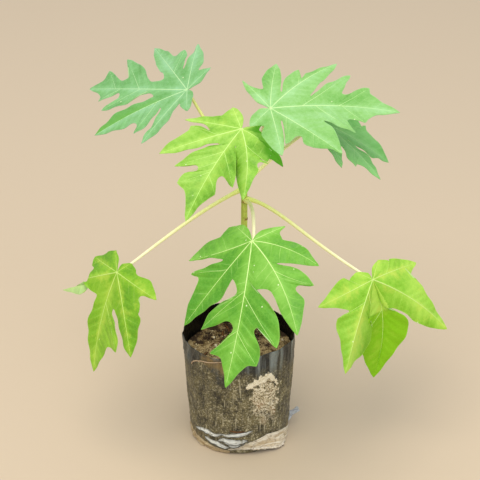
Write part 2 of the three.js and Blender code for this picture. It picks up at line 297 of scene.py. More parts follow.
def buildFilmMaterial():
    # Black LDPE film, blown and dull with soil dust. It gives an olive-grey bloom with pale flecks and
    # scratches, a cleaner, cooler black with streaks of painted sheen towards the rim, painted shade on its
    # inside and in its drain holes, and a crust of dried mud.
    made, add = newMaterial("dusty black LDPE film")
    place = add("TexCoord").outputs["Object"]
    mark = {name: add("Attribute", attribute_name=name).outputs["Fac"]
            for name in ("mud", "crust", "clean", "sheen", "inside", "hole", "soiled")}
    tall, long = (add("Mapping", {"Vector": place, "Scale": (1, 1, squeeze)}) for squeeze in (0.12, 0.07))
    slant = add("Mapping", {"Vector": place, "Rotation": (0.5, 0.9, 0.3), "Scale": (1, 1, 0.08)})
    blotch = add("TexNoise", {"Vector": place, "Scale": 90, "Detail": 4, "Roughness": 0.6})  # 11 mm
    grit = add("TexNoise", {"Vector": place, "Scale": 400, "Detail": 4, "Roughness": 0.65})  # 2.5 mm
    streak = add("TexNoise", {"Vector": tall, "Scale": 260, "Detail": 3, "Roughness": 0.6})  # 4 mm wide
    scratch = add("TexNoise", {"Vector": slant, "Scale": 520, "Detail": 2})  # 2 mm wide
    gleam = add("TexNoise", {"Vector": long, "Scale": 150, "Detail": 3, "Roughness": 0.55})  # 7 mm wide
    speck = add("TexNoise", {"Vector": place, "Scale": 640, "Detail": 3, "Roughness": 0.6})  # 1.6 mm
    sand = add("TexNoise", {"Vector": place, "Scale": 900, "Detail": 3, "Roughness": 0.7})  # 1.1 mm
    swirl = add("TexNoise", {"Vector": place, "Scale": 230, "Detail": 3, "Distortion": 2.2})  # 4 mm
    mix = add("Math", {0: blotch, 1: 0.48}, operation="MULTIPLY")
    for noise, share in ((grit, 0.35), (streak, 0.17)):
        mix = add("Math", {0: noise, 1: share, 2: mix}, operation="MULTIPLY_ADD")
    # dust lies where the film is neither clean nor inside, which is kept dark as painted shade, with pale
    # flecks and slanting scratches
    worn = 1.0
    for part, share in (("clean", -0.84), ("inside", -0.8)):
        worn = add("Math", {0: mark[part], 1: share, 2: worn}, operation="MULTIPLY_ADD")
    dusty = add("MapRange", {"Value": mix, 1: 0.4, 2: 0.6, 3: 0.08})
    dusty = add("Math", {0: dusty, 1: worn}, operation="MULTIPLY", use_clamp=True)
    # painted sheen: pale blue-grey streaks of painted reflection on the clean film, most towards the front
    # right
    shine = add("MapRange", {"Value": gleam, 1: 0.47, 2: 0.66, 4: 0.8})
    shine = add("Math", {0: shine, 1: mark["sheen"]}, operation="MULTIPLY")
    fleck = add("MapRange", {"Value": speck, 1: 0.5, 2: 0.7})
    dust = add("Mix", {"Factor": fleck, 6: bag["dust"], 7: bag["dustPale"]}, data_type="RGBA")
    scrape = add("MapRange", {"Value": scratch, 1: 0.62, 2: 0.7, 4: 0.4})
    scrape = add("Math", {0: scrape, 1: worn}, operation="MULTIPLY")
    smear = add("Math", {0: mix, 1: 2.2, 2: mark["soiled"]}, operation="MULTIPLY_ADD")
    smear = add("MapRange", {"Value": smear, 1: 1.4, 2: 1.95, 4: 0.8})
    # the mud's crumbs go from dark to pale with the grain, with rusty patches, and break up at its edge
    grain = add("Math", {0: sand, 1: swirl}, operation="ADD")
    light = add("MapRange", {"Value": grain, 1: 0.83, 2: 1.01})
    bright = add("MapRange", {"Value": grain, 1: 1.0, 2: 1.14})
    reddish = add("MapRange", {"Value": blotch, 1: 0.56, 2: 0.66, 4: 0.5})
    crumbs = bag["mudDark"]
    for share, over in ((light, bag["mud"]), (reddish, bag["mudRust"]), (bright, bag["mudPale"])):
        crumbs = add("Mix", {"Factor": share, 6: crumbs, 7: over}, data_type="RGBA")
    ragged = add("Math", {0: mix, 1: 2.6, 2: mark["mud"]}, operation="MULTIPLY_ADD")
    ragged = add("MapRange", {"Value": ragged, 1: 1.65, 2: 2.15, 4: 0.95})
    ragged = add("Math", {0: ragged, 1: mark["mud"]}, operation="MULTIPLY")
    cake = add("Math", {0: swirl, 1: 1.2, 2: mark["crust"]}, operation="MULTIPLY_ADD")
    cake = add("MapRange", {"Value": cake, 1: 0.92, 2: 1.3})
    caked = add("Mix", {"Factor": light, 6: bag["mud"], 7: bag["mudPale"]}, data_type="RGBA")
    # in turn: clean film, painted sheen, painted shade inside, dust, scratches, earth, mud, crust, painted
    # shade in the holes
    colour = bag["film"]
    for share, over in ((mark["clean"], bag["filmCool"]), (shine, bag["sheen"]),
                        (mark["inside"], bag["inside"]), (dusty, dust), (scrape, bag["dustPale"]),
                        (smear, bag["earth"]), (ragged, crumbs), (cake, caked), (mark["hole"], bag["hole"])):
        colour = add("Mix", {"Factor": share, 6: colour, 7: over}, data_type="RGBA")
    rough = add("MapRange", {"Value": dusty, 3: 0.32, 4: 0.72})
    rough = add("Math", {0: mark["mud"], 1: 0.4, 2: rough}, operation="MULTIPLY_ADD", use_clamp=True)
    bump = add("Bump", {"Height": mix, "Strength": 0.8, "Distance": 0.0015})
    skin = add("BsdfPrincipled", {"Base Color": colour, "Roughness": rough, "IOR": 1.51,
                                  "Specular IOR Level": 0.3, "Normal": bump})
    add("OutputMaterial", {"Surface": skin})
    return made


def buildBag():
    # rings from the middle of the base out to the heel, up the wall and down its inside
    a = np.linspace(0, 2 * np.pi, bag["columns"] + 1)[None, :]
    heights = np.concatenate([np.linspace(0, 6, 9), np.linspace(7, bag["height"], 112)])[:, None]
    outer = bagWall(a, heights)
    floor = outer[:1] * np.array([1, 1, 0])
    under = floor * np.linspace(0.0, 1, 10)[:-1, None, None]
    inner = bagWall(a, heights[::-1][:bag["innerRows"]], bag["wall"])
    down = inner[-1:] * np.array([0.98, 0.98, 1])
    points = np.concatenate([under, outer, inner, down])
    z = points[..., 2]
    turn = np.broadcast_to(a, z.shape)
    isIn = (np.arange(len(points)) >= len(under) + len(outer))[:, None] + 0 * z
    wall = 1 - isIn
    # values for the material: the film is cleaner away from its dirty side and towards the rim
    side = smooth(20, 100, np.abs(turnFrom(turn, bag["dirtySide"])))
    clean = smooth(92 - 30 * side, 114 - 8 * side, z + 8 * swell(points, 22, 21))
    clean = clean - 0.5 * np.exp(-(turnFrom(turn, bag["rimDust"]) / 22) ** 2) * smooth(104, 75, z)
    # painted sheen: where the material paints reflection streaks, on the clean film, most towards the front
    # right
    sheen = clean * (0.35 + 0.65 * smooth(100, 50, np.abs(turnFrom(turn, bag["paintedSheenSide"]))))
    low = smooth(22, 4, z + 5 * swell(points, 18, 24)) * smooth(2, 9, z) * 0.5
    spill = np.exp(-((z - 110) / 10) ** 2) * smooth(34, 6, np.abs(turnFrom(turn, bag["rimStain"]))) * 0.75
    # the material paints shade over the inside and in the holes
    marks = {"mud": mudMark(turn, z) * wall * (z > 2), "crust": crustMark(turn, z) * wall,
             "hole": holeMark(turn, z) * wall, "soiled": (low + spill) * wall,
             "clean": clean, "sheen": sheen, "inside": isIn}
    film = sheet(points, marks=marks, flip=True)
    makePiece("film_bag", [film], [buildFilmMaterial()], ["grow_bag"], sharp=0)


# loose film along the foot, a torn scrap, a leaf bit and a straw

folds = {
    # pleats, lips of film across the wall: heading and height of both ends, width, how far they stand out
    "pleats": [(-150, 19, -108, 24, 4.5, 1.6), (-112, 24, -74, 29, 4.0, 1.5),
               (-134, 14, -101, 8.5, 5.0, 1.8), (-116, 17, -80, 17, 6.5, 2.2),
               (-104, 12, -84, 13, 4.0, 1.4)],
    # flap and strip: headings of their ends, heights of their edges and how far the lower one stands out
    "flap": {"ends": (-103, -3), "seed": 51, "rays": 9,
             "top": [7.5, 11, 15.5, 18.5, 20.5, 18.5, 14, 9, 4],
             "low": [7, 8.2, 8, 5.6, 3.8, 0.9, 0.6, 0.4, 0.5],
             "out": [0.6, 0.8, 1.4, 2.4, 4.4, 9, 3, 1.8, 1]},
    "strip": {"ends": (-172, -101), "seed": 61, "rays": 7, "top": [10, 9.5, 7.5, 5.8, 5],
              "low": [8, 2.5, 0.4, 0.3, 0.8], "out": [0.3, 1.4, 2.0, 1.4, 0.5]},
    "scrapFrom": (48.5, -3, 12), "scrapAlong": (13, 4, 8), "scrapAcross": (-0.2, 0.5, 0.85),
    "scrapCurl": (0.7, -0.7, 0.1), "strawTurn": (-149, -107), "strawFoot": 98, "strawClimb": 17.5,
    "bitTurn": (-101, -84), "bitHeight": 30.6,
    # base, pale and dirty colour, then roughness; the pale is partly rubbed dust and partly painted
    # highlight, most along the crests of the folds, and on the leaf bit a painted glint
    "scuffed LDPE fold with painted highlights": ("#47453a", "#f1f3ec", bag["dust"], 0.36),
    "dust-caked LDPE flap": ("#c9b592", "#f4ecd9", "#8a7450", 0.55),
    "soil-stained LDPE strip": ("#a58a60", "#d9c7a0", "#8a7450", 0.6),
    "torn LDPE scrap": ("#c3c8cf", "#f2f5fa", "#9b9a92", 0.3),
    # the leaf bit's pale is a painted glint
    "rusty leaf bit": ("#5e3c14", "#c08c3a", "#2e1c0a", 0.7),
    "dry straw": ("#c4ab8e", "#e6d6bf", "#8a6c50", 0.7),
}


def buildFoldMaterial(name, base, pale, dirt, rough):
    # Loose LDPE film rubbed thin: pale in streaks that are partly rubbed dust and partly painted highlight,
    # most on the crests where the folds would catch the light, creased and scratched along its folds, with
    # earth in the hollows.
    made, add = newMaterial(name)
    place = add("TexCoord").outputs["Object"]
    crest = add("Attribute", attribute_name="crest").outputs["Fac"]
    lay = add("UVMap", uv_map="lay")  # a unit is 70 mm along and 2 mm across, so streaks are 20 mm long
    streak = add("TexNoise", {"Vector": lay, "Scale": 3.2, "Detail": 4, "Roughness": 0.55})
    spot = add("TexNoise", {"Vector": place, "Scale": 230, "Detail": 4, "Roughness": 0.6})  # 4 mm
    # painted highlight: the crests lift the streaks towards the pale colour
    high = add("Math", {0: crest, 1: 0.3, 2: streak}, operation="MULTIPLY_ADD")
    high = add("MapRange", {"Value": high, 1: 0.56, 2: 0.7})
    low = add("MapRange", {"Value": spot, 1: 0.56, 2: 0.7, 4: 0.85})
    colour = base
    for share, over in ((high, pale), (low, dirt)):
        colour = add("Mix", {"Factor": share, 6: colour, 7: over}, data_type="RGBA")
    bump = add("Bump", {"Height": streak, "Strength": 0.9, "Distance": 0.002})
    skin = add("BsdfPrincipled", {"Base Color": colour, "Roughness": rough, "IOR": 1.51, "Normal": bump})
    add("OutputMaterial", {"Surface": skin})
    return made


def pleat(a0, z0, a1, z1, wide, out):
    # a lens of film between two places of the wall, tucked in along its upper edge and lifted at its lower
    u, v = np.linspace(0, 1, 70)[:, None], np.linspace(-1, 1, 11)[None, :]
    body = np.sin(np.pi * u) ** 0.55
    a = np.radians(between((a0, a1), u)) + 0 * v
    lie = onDrum(a, z0)
    z = between((z0, z1), u) + 1.1 * swell(lie, 17, int(wide * 10)) - v * body * wide / 2
    lift = 0.15 + out * body * (0.5 + 0.5 * v) ** 1.3 + 0.18 * swell(lie + placed(0, 0, 3 * z), 5, 41)
    points = around(filmRadius(a, z) + np.maximum(lift, 0.12), a, z)
    lay = placed(u * np.radians(abs(a1 - a0)) * bag["middle"] / 60, v * wide / 3)
    # crest: the lens's bulge, where the material paints most highlight
    return sheet(points, {"lay": lay}, marks={"crest": body * (1 - (v + 0.1) ** 2)})


def skirtSheet(ends, top, low, out, seed, rays):
    # loose film along the foot: its upper edge on the wall, its lower edge flared over the floor, with
    # creases that spread from one place like a fan
    u, v = np.linspace(0, 1, 150)[:, None], np.linspace(0, 1, 17)[None, :]
    high, base, flare = (np.interp(u, np.linspace(0, 1, len(top)), values) for values in (top, low, out))
    a = np.radians(between(ends, u)) + 0 * v
    lie = onDrum(a, 6 * v)
    z = base + (high - base) * (1 - v) + 0.5 * swell(lie, 7, seed) * v * (1 - v) * 2
    fan = rays * (u - 0.62) / (0.35 + 0.65 * (1 - v)) + 0.3 * swell(lie, 12, seed + 1)
    crumple = 0.9 * (np.abs(fan % 1 - 0.5) * 2) + 0.25 * swell(lie, 4, seed + 2)
    lift = 0.25 + flare * v ** 1.6 + crumple * np.minimum(1, flare / 2.5) * v
    edge = 0.8 * swell(lie, 6, seed + 3) * v * np.minimum(1, flare / 3)
    r = filmRadius(a, np.maximum(z, 0)) + np.maximum(lift, 0.15) + edge
    lay = placed(u * np.radians(abs(ends[1] - ends[0])) * bag["middle"] / 80, v * 4)
    # crest: a little more painted highlight along both edges than in the middle
    crest = 0.45 + 0.2 * np.cos(2 * np.pi * v) + 0 * u
    return sheet(around(r, a, np.maximum(z, 0.25)), {"lay": lay}, marks={"crest": crest})


def scrapSheet():  # a tapering tongue of film, curled by one sine wave
    u, v = np.linspace(0, 1, 24)[:, None], np.linspace(-1, 1, 13)[None, :]
    curl = 1.2 * np.sin(5 * v + 6 * u) * (0.3 + u)
    ways = ("From", "Along", "Across", "Curl")
    start, along, across, out = (np.array(folds["scrap" + way]) for way in ways)
    points = start + u[..., None] * along + (v * (5 - 3 * u))[..., None] * across + curl[..., None] * out
    return sheet(points, {"lay": placed(u * 0.4, v * 1.5)})


def bitSheet():  # a leaf bit: a thin spindle lying on the wall
    t = np.linspace(0, 1, 30)
    a, z = np.radians(between(folds["bitTurn"], t)), folds["bitHeight"] - 0.8 * t
    grid, uv = tube(around(filmRadius(a, z) + 0.2, a, z), 0.9 * np.sin(np.pi * t) ** 0.5 + 0.1, 8)
    return sheet(grid, {"lay": uv})


def strawSheet():  # a straw along the wall, thinning as it rises towards the rim
    t = np.linspace(0, 1, 40)
    a = np.radians(between(folds["strawTurn"], t))
    z = folds["strawFoot"] + folds["strawClimb"] * t ** 0.55 + 0.5 * np.sin(7 * t)
    share = (z - bag["frillFrom"]) / (bag["height"] - bag["frillFrom"])
    grid, uv = tube(around(filmRadius(a, z) + 0.75, a, z + rimRise(a) * share), 0.65 - 0.2 * t, 8)
    return sheet(grid, {"lay": uv})


def buildFolds():  # every loose piece, with a wall if it is film, and its finish from the dictionary
    for name, finish, slotName, thick, sheets in (
            ("film_pleats", "scuffed LDPE fold with painted highlights", "film", 0.2, [pleat(*entry) for entry in folds["pleats"]]),
            ("film_flap", "dust-caked LDPE flap", "film", 0.25, [skirtSheet(**folds["flap"])]),
            ("film_strip", "soil-stained LDPE strip", "film", 0.25, [skirtSheet(**folds["strip"])]),
            ("film_scrap", "torn LDPE scrap", "film", 0.2, [scrapSheet()]),
            ("leaf_bit", "rusty leaf bit", "soil", 0, [bitSheet()]),
            ("straw", "dry straw", "soil", 0, [strawSheet()])):
        makePiece(name, sheets, [buildFoldMaterial(finish, *folds[finish])], thick=thick, sharp=0)


print("bag")
buildBag()
buildFolds()


# soil

soil = {
    "level": 96, "mound": 3, "collar": 9, "stemAt": (2.5, 3.0), "gap": 0.35, "skirt": 9,
    "spread": 48, "crumbs": 700, "crumbSize": (0.5, 2.2), "pebbles": 34, "pebbleSize": (1.0, 2.4),
    "bitSpread": 44, "bits": 36, "straws": 18, "bitLength": (4, 11),
    "dark": "#36281a", "brown": "#75603c", "grey": "#b3a078", "pebble": "#d3c8ae",
    "husk": ("#38210f", "#5c3b1c", "#8a6232"), "straw": ("#a98a5c", "#cdb98c", "#e0d2ae"),
}


def soilHeight(x, y):  # the solid's low mound with two slow ripples, flat round the stem
    r = np.hypot(x - soil["stemAt"][0], y - soil["stemAt"][1])
    a = np.arctan2(y, x)
    away = np.clip((r - soil["collar"]) / 14, 0, 1)
    ripples = 0.5 * np.sin(2 * a + 0.8) + 0.35 * np.cos(x / 9) * np.sin(y / 11 + 0.5)
    return soil["level"] + away * (soil["mound"] * ripples - 1.5 * (r / 50) ** 2)


def earthTop(x, y):  # the mound with clods of three sizes and a few cracks
    place = placed(x, y, 0)
    clods = 1.1 * np.abs(swell(place, 12, 31)) + 0.55 * np.abs(swell(place, 4.5, 32))
    clods = clods + 0.25 * swell(place, 2.2, 33)
    crack = 1.6 * np.exp(-(swell(place, 22, 34) / 0.09) ** 2) * smooth(-0.2, 0.4, swell(place, 30, 35))
    return soilHeight(x, y) + clods - crack - 0.5


def dampAndShadeMark(p):  # damp soil and painted shade, darker towards the back, below zero where it is dry and dusty
    flat = p * np.array([1, 1, 0])
    return 1.5 * smooth(2, 24, p[..., 1] + 7 * swell(flat, 16, 36)) + 0.5 * swell(flat, 11, 37) - 0.8


def lumps(centres, sizes, seed):
    # one small lump a centre: a ball of 8 by 6 points, squeezed and dented by its own seeded numbers
    rng = np.random.default_rng(seed)
    count = len(centres)
    u, v = np.meshgrid(np.linspace(0, 2 * np.pi, 9), np.linspace(0, np.pi, 6))
    ball = around(np.sin(v), u, np.cos(v))
    dent = 1 + 0.22 * np.sin(3 * u[None] + rng.uniform(0, 6.28, (count, 1, 1))) * np.sin(v[None]) ** 2
    scale = sizes[:, None, None, None] * rng.uniform(0.6, 1.2, (count, 1, 1, 3)) * np.array([1, 1, 0.75])
    balls = centres[:, None, None, :] + ball[None] * dent[..., None] * scale
    return [sheet(p, flip=True, marks={"damp": dampAndShadeMark(p)}) for p in balls]


def litter(count, seed, wide):
    # straws and leaf bits lying on the soil: short bent strips, each a flat four-sided tube over the mound
    rng = np.random.default_rng(seed)
    made = []
    for _ in range(count):
        r = soil["bitSpread"] * np.sqrt(rng.uniform(0.03, 1))
        t, turn = rng.uniform(0, 6.28), rng.uniform(0, 6.28)
        along = np.linspace(-0.5, 0.5, 9) * rng.uniform(*soil["bitLength"])
        bend = rng.uniform(-0.03, 0.03) * along ** 2
        x = r * np.cos(t) + along * np.cos(turn) - bend * np.sin(turn)
        y = r * np.sin(t) + along * np.sin(turn) + bend * np.cos(turn)
        rise = np.linspace(0, rng.uniform(0, 2.5), 9)
        path = placed(x, y, soilHeight(x, y) + 1.0 + rise)
        taper = np.sin(np.linspace(0.4, 2.74, 9))
        made.append(sheet(tube(path, wide * rng.uniform(0.5, 1) * taper, 4, 0.35)[0]))
    return made


def buildSoilMaterial(name, colours, scale):
    # Garden soil with sand and leaf bits, half dry: dull, almost without gloss, mottled dark, brown and
    # pale, darker towards the back where it is damp and in painted shade, with blotches of 1000 / scale mm
    # and grains a quarter of that.
    made, add = newMaterial(name)
    place = add("TexCoord").outputs["Object"]
    damp = add("Attribute", attribute_name="damp").outputs["Fac"]
    coarse = add("TexNoise", {"Vector": place, "Scale": scale, "Detail": 6, "Roughness": 0.7})
    fine = add("TexNoise", {"Vector": place, "Scale": scale * 4, "Detail": 3, "Roughness": 0.6})
    colour = colours[0]
    for noise, darken, first, last, most, over in ((coarse, -0.16, 0.38, 0.54, 1.0, colours[1]),
                                                (fine, -0.14, 0.46, 0.66, 0.75, colours[2])):
        # the damp and painted shade mark lowers each share, darkening the soil
        share = add("Math", {0: damp, 1: darken, 2: noise}, operation="MULTIPLY_ADD")
        share = add("MapRange", {"Value": share, 1: first, 2: last, 4: most})
        colour = add("Mix", {"Factor": share, 6: colour, 7: over}, data_type="RGBA")
    bump = add("Bump", {"Height": fine, "Strength": 0.7, "Distance": 0.0008})
    skin = add("BsdfPrincipled", {"Base Color": colour, "Roughness": 0.92, "Specular IOR Level": 0.25,
                                  "Normal": bump})
    add("OutputMaterial", {"Surface": skin})
    return made


def buildSoil():
    earth = buildSoilMaterial("half-dry garden soil", (soil["dark"], soil["brown"], soil["grey"]), 150)
    stone = buildSoilMaterial("weathered grit", (soil["grey"], soil["pebble"], soil["pebble"]), 300)
    # the surface: rings from the film's inside to the stem, with a skirt down the film, closed below
    a = np.linspace(0, 2 * np.pi, 241)[None, :]
    share = np.linspace(1, 0, 80)[:, None]
    near = np.linspace(84, 104, 21)[:, None]  # heights round the soil's edge
    edge = filmRadius(a, near).min(0)[None, :] - bag["wall"] - soil["gap"]
    x, y = (at + (edge * way(a) - at) * share for at, way in zip(soil["stemAt"], (np.cos, np.sin)))
    top = placed(x, y, earthTop(x, y))
    skirt = top[:1] - np.array([0, 0, soil["skirt"]])
    middle = np.broadcast_to(skirt.mean(1, keepdims=True), skirt.shape)
    ground = np.concatenate([middle, skirt, top])
    surface = sheet(ground, flip=True, marks={"damp": dampAndShadeMark(ground)})
    makePiece("soil_surface", [surface], [earth], ["soil"], sharp=0)
    rng = np.random.default_rng(8)
    for name, count, size, material in (("soil_crumbs", soil["crumbs"], soil["crumbSize"], earth),
                                        ("soil_grit", soil["pebbles"], soil["pebbleSize"], stone)):
        r, t = soil["spread"] * np.sqrt(rng.uniform(0.02, 1, count)), rng.uniform(0, 6.28, count)
        x, y = r * np.cos(t), r * np.sin(t)
        big = between(size, rng.random(count) ** 2.5)
        centres = placed(x, y, earthTop(x, y) + big * 0.25)
        makePiece(name, lumps(centres, big, 9), [material], sharp=0)
    husk = buildSoilMaterial("rotting leaf bits", soil["husk"], 260)
    dry = buildSoilMaterial("straw bits", soil["straw"], 260)
    makePiece("soil_husks", litter(soil["bits"], 3, 1.6), [husk], sharp=0)
    makePiece("soil_straws", litter(soil["straws"], 4, 0.6), [dry], sharp=0)


print("soil")
buildSoil()


# stem

stem = {
    "path": [(2.5, 3, 96.3), (3.6, 2.2, 170), (4.8, 1, 240), (4.2, 0, 311)],
    "flareRadius": 5.2, "lowRadius": 3.9, "highRadius": 2.7, "flareHeight": 16,
    "scars": [(118, 60), (133, 190), (149, 320), (164, 95), (181, 230), (199, 20), (216, 150), (232, 280),
              (246, -35), (258, 120), (265, -100)],  # height and heading of the scars of shed leaves
    "scarWide": 52, "scarTall": 1.3, "scarThick": 0.55,  # half width in degrees, half height, thickness
    "green": "#a0b43c", "pale": "#c8d862", "brown": "#8a6a35", "bark": "#a39b7c",
}


def spline(points, count):
    # the centripetal Catmull-Rom curve through the points, as the solid's stem follows it
    p = np.asarray(points, float)
    p = np.concatenate([[2 * p[0] - p[1]], p, [2 * p[-1] - p[-2]]])
    knots = np.concatenate([[0], np.cumsum(np.sqrt(np.linalg.norm(np.diff(p, axis=0), axis=1)))])
    t = np.linspace(knots[1], knots[-2], count)
    k = np.clip(np.searchsorted(knots, t, side="right") - 1, 1, len(p) - 3)
    t = t[:, None]
    k0, k1, k2, k3 = (knots[k + i][:, None] for i in (-1, 0, 1, 2))
    a1 = ((k1 - t) * p[k - 1] + (t - k0) * p[k]) / (k1 - k0)
    a2 = ((k2 - t) * p[k] + (t - k1) * p[k + 1]) / (k2 - k1)
    a3 = ((k3 - t) * p[k + 1] + (t - k2) * p[k + 2]) / (k3 - k2)
    b1 = ((k2 - t) * a1 + (t - k0) * a2) / (k2 - k0)
    b2 = ((k3 - t) * a2 + (t - k1) * a3) / (k3 - k1)
    return ((k2 - t) * b1 + (t - k1) * b2) / (k2 - k1)


def stemRadius(t):  # a straight taper with a flare at the soil and a rounded tip
    up = t * (stem["path"][-1][2] - soil["level"])
    flare = (stem["flareRadius"] - stem["lowRadius"]) * np.maximum(0, 1 - up / stem["flareHeight"]) ** 2
    tip = np.sqrt(np.maximum(0.03, 1 - np.maximum(0, (t - 0.94) / 0.06) ** 2))
    return (between((stem["lowRadius"], stem["highRadius"]), t) + flare) * tip


def buildStemMaterial():
    # Young papaya stem: smooth green skin with a faint waxy gloss, brown at the leaf scars and in flecks,
    # corky towards the soil, with fine upright fibres.
    made, add = newMaterial("waxy green stem skin")
    place = add("TexCoord").outputs["Object"]
    scar, low = (add("Attribute", attribute_name=name).outputs["Fac"] for name in ("scar", "low"))
    tall = add("Mapping", {"Vector": place, "Scale": (1, 1, 0.12)})
    fibre = add("TexNoise", {"Vector": tall, "Scale": 900, "Detail": 4, "Roughness": 0.6})  # 1 mm
    patch = add("TexNoise", {"Vector": place, "Scale": 160, "Detail": 3})  # 6 mm
    blend = add("MapRange", {"Value": fibre, 1: 0.35, 2: 0.65})
    brown = add("MapRange", {"Value": patch, 1: 0.55, 2: 0.7, 4: 0.5})
    brown = add("Math", {0: brown, 1: scar}, operation="ADD", use_clamp=True)
    colour = stem["green"]
    for share, over in ((blend, stem["pale"]), (low, stem["bark"]), (brown, stem["brown"])):
        colour = add("Mix", {"Factor": share, 6: colour, 7: over}, data_type="RGBA")
    bump = add("Bump", {"Height": fibre, "Strength": 0.5, "Distance": 0.0004})
    skin = add("BsdfPrincipled", {"Base Color": colour, "Roughness": 0.52, "IOR": 1.45, "Normal": bump})
    add("OutputMaterial", {"Surface": skin})
    return made


def buildStem():  # a round skin along the stem's curve, rippled, with a thick crescent at each leaf scar
    path = spline(stem["path"], 230)
    angle = np.linspace(0, 2 * np.pi, 33)[None, :]
    z = path[:, 2][:, None]
    ripple = 1 + 0.02 * np.sin(5 * angle + z / 14) + 0.015 * np.sin(3 * angle - z / 9)
    radius = stemRadius(np.linspace(0, 1, len(path)))[:, None] * ripple
    scar = 0 * radius
    for height, turn in stem["scars"]:
        off = (turnFrom(-angle, turn) / stem["scarWide"]) ** 2
        near = np.exp(-off) * np.exp(-((z - height + 1.2 * off) / stem["scarTall"]) ** 2)
        radius = radius + stem["scarThick"] * near
        scar = np.maximum(scar, near)
    grid = closed(path[:, None] + around(radius, -angle, 0), path)
    scar = np.concatenate([scar[:1], scar, scar[-1:] * 0])
    marks = {"scar": scar, "low": smooth(150, 100, grid[..., 2]) * 0.8}
    makePiece("stem_skin", [sheet(grid, marks=marks)], [buildStemMaterial()], ["stem"])


print("stem")
buildStem()


# leaves

# One entry a leaf. node is where the veins meet, start the height on the stem where the stalk leaves it,
# side the stalk's heading there, sag and swing how far its control point lies below and beside a straight
# line, and ease draws the bend towards the stem. stalk is the stalk's colour at the leaf and at the stem.
# One row a lobe, anticlockwise from above: [heading, fall, length, notch radius to the next lobe, margin
# towards the lobe before, margin towards the next]; a margin lists its turning points, each as [along the
# midrib, out from it]. tones and bows have one value a lobe: how light it is, or both its halves are, and
# how far it bows up; the tones are painted light and shade, lighter where a lobe faces the light and
# darker where it turns away or lies in the shadow of a leaf above. Some lobes are listed by number:
# darkFrom is where a tone near the node gives way to the lobe's own, as shares of its length, and that
# tone, so that painted shade begins part way along a lobe; dusk a painted shadow strip along the midrib,
# with its tone, start, end and breadth; veinEnds the share of the midrib that stands up; and bends a half
# lobe's fold in degrees, where it starts and ends, and how far out its hinge is. lines is how clear the
# side veins are, yellow and specks how much mottle and how many pale dots there are, and shade a colour
# for parts in shadow.

leaves = {}
leaves["front"] = {
    "node": [11, -127, 294], "start": 266, "sag": -16, "swing": 5, "side": -45,
    "green": "#68aa2e", "deep": "#4c931a", "pale": "#86c24e", "vein": "#cdeb98",
    "yellow": 0.0, "specks": 1.7, "lines": 0.4,
    "tones": [0.2, 0, -1.2, -0.2, -0.2, -0.5, 0], "bows": [0, 2.5, 0, 4, 7, 4, 0],
    "lobes": [
        [114, 5, 34, 42, [[14, 5], [26, 5]], [[41, 5]]],
        [151, 31, 74, 33, [[52, 15], [62, 10]], [[46, 5]]],
        [196, 51, 97, 37, [[63, 31], [60, 20], [77, 14]], [[47, 15], [58, 15], [69, 10]]],
        [255, 47, 127, 46, [[45, 5], [50, 8], [60, 25], [80, 37], [75, 3], [100, 22], [102, 12], [112, 5]],
         [[58, 34], [75, 45], [91, 45], [77, 21], [93, 29], [107, 28], [108, 18]]],
        [294, 25, 99, 34, [[50, 5], [75, 4]], [[48, 26], [67, 31], [61, 17], [74, 18], [86, 11]]],
        [327, 3, 66, 27, [[50, 5]], [[40, 12], [50, 10], [58, 5]]],
        [369, -22, 31, 0, [[25, 4]], [[11, 6], [22, 3]]],
    ],
}
leaves["upper_left"] = {
    "node": [-49, 45, 359], "start": 291, "sag": 4, "side": None, "stalk": ("#d6dd84", "#dce68a"),
    "green": "#77b16e", "deep": "#5c9c4d", "pale": "#8ec291", "shade": "#64a63e", "vein": "#b6dca4",
    "yellow": 0.0, "specks": 0.3, "lines": 0.2,
    "tones": [0, 0, [-0.4, -0.1], [-0.4, 0.1], [-1.7, -0.3], [-0.1, 0], -0.4],
    "bows": [0, 0, 0, 2, -2, 0, 0],
    "lobes": [
        [38, -29, 32, 25, [[8, 5], [19, 5]], []],
        [82, -18, 68, 33, [[36, 12], [50, 9], [60, 4]], [[44, 7], [54, 3]]],
        [111, -3, 99, 36, [[42, 16], [50, 21], [58, 22], [60, 12], [78, 8]], [[42, 9], [52, 10], [72, 8]]],
        [149, 12, 118, 34, [[44, 9], [67, 30], [96, 44], [79, 20], [77, 13], [109, 27], [108, 13]],
         [[42, 7], [59, 23], [83, 32], [74, 9], [95, 19], [98, 11]]],
        [188, 25, 98, 30, [[48, 12], [69, 14], [84, 9]], [[45, 26], [60, 31], [56, 16], [68, 13]]],
        [232, 25, 73, 21, [[52, 4], [66, 3]], [[34, 9], [50, 11], [60, 8]]],
        [272, 9, 36, 0, [[24, 7]], [[8, 6], [26, 5]]],
    ],
}
leaves["upper_right"] = {
    "node": [29, 25, 349], "start": 300, "sag": 3, "side": None,
    "green": "#84bd66", "deep": "#69aa49", "pale": "#9dd08f", "vein": "#c8e9a6",
    "yellow": 0.0, "specks": 0.3, "lines": 0.22,
    "tones": [0, -0.2, [-0.7, 0.2], [0, -0.2], [0, -0.1], -0.3, -0.2],
    "bows": [0, 0, 0, 4, 4, 1.5, 0],
    "lobes": [
        [236, 11, 34, 29, [[7, 8], [18, 8], [28, 5]], []],
        [278, 13, 70, 22, [[41, 15], [52, 12], [63, 6.4]], [[48, 5]]],
        [315, 10, 91, 53, [[37, 19], [49, 30], [50, 12], [59, 16], [69, 15], [77, 5]], [[65, 18], [76, 11]]],
        [360, 2, 121, 41, [[62, 28], [77, 37], [72, 16], [87, 21], [91, 13], [103, 6]],
         [[54, 35], [65, 43], [77, 50], [71, 33], [69, 20], [81, 28], [94, 32], [95, 24]]],
        [406, -10, 96, 25, [[58, 10], [80, 6]], [[36, 16], [47, 20], [60, 18], [52, 9], [62, 10], [78, 6]]],
        [444, -14, 70, 26, [[50, 6]], [[40, 12], [52, 9]]],
        [489, -19, 44, 0, [[30, 3]], [[11, 6], [24, 7], [35, 4]]],
    ],
}
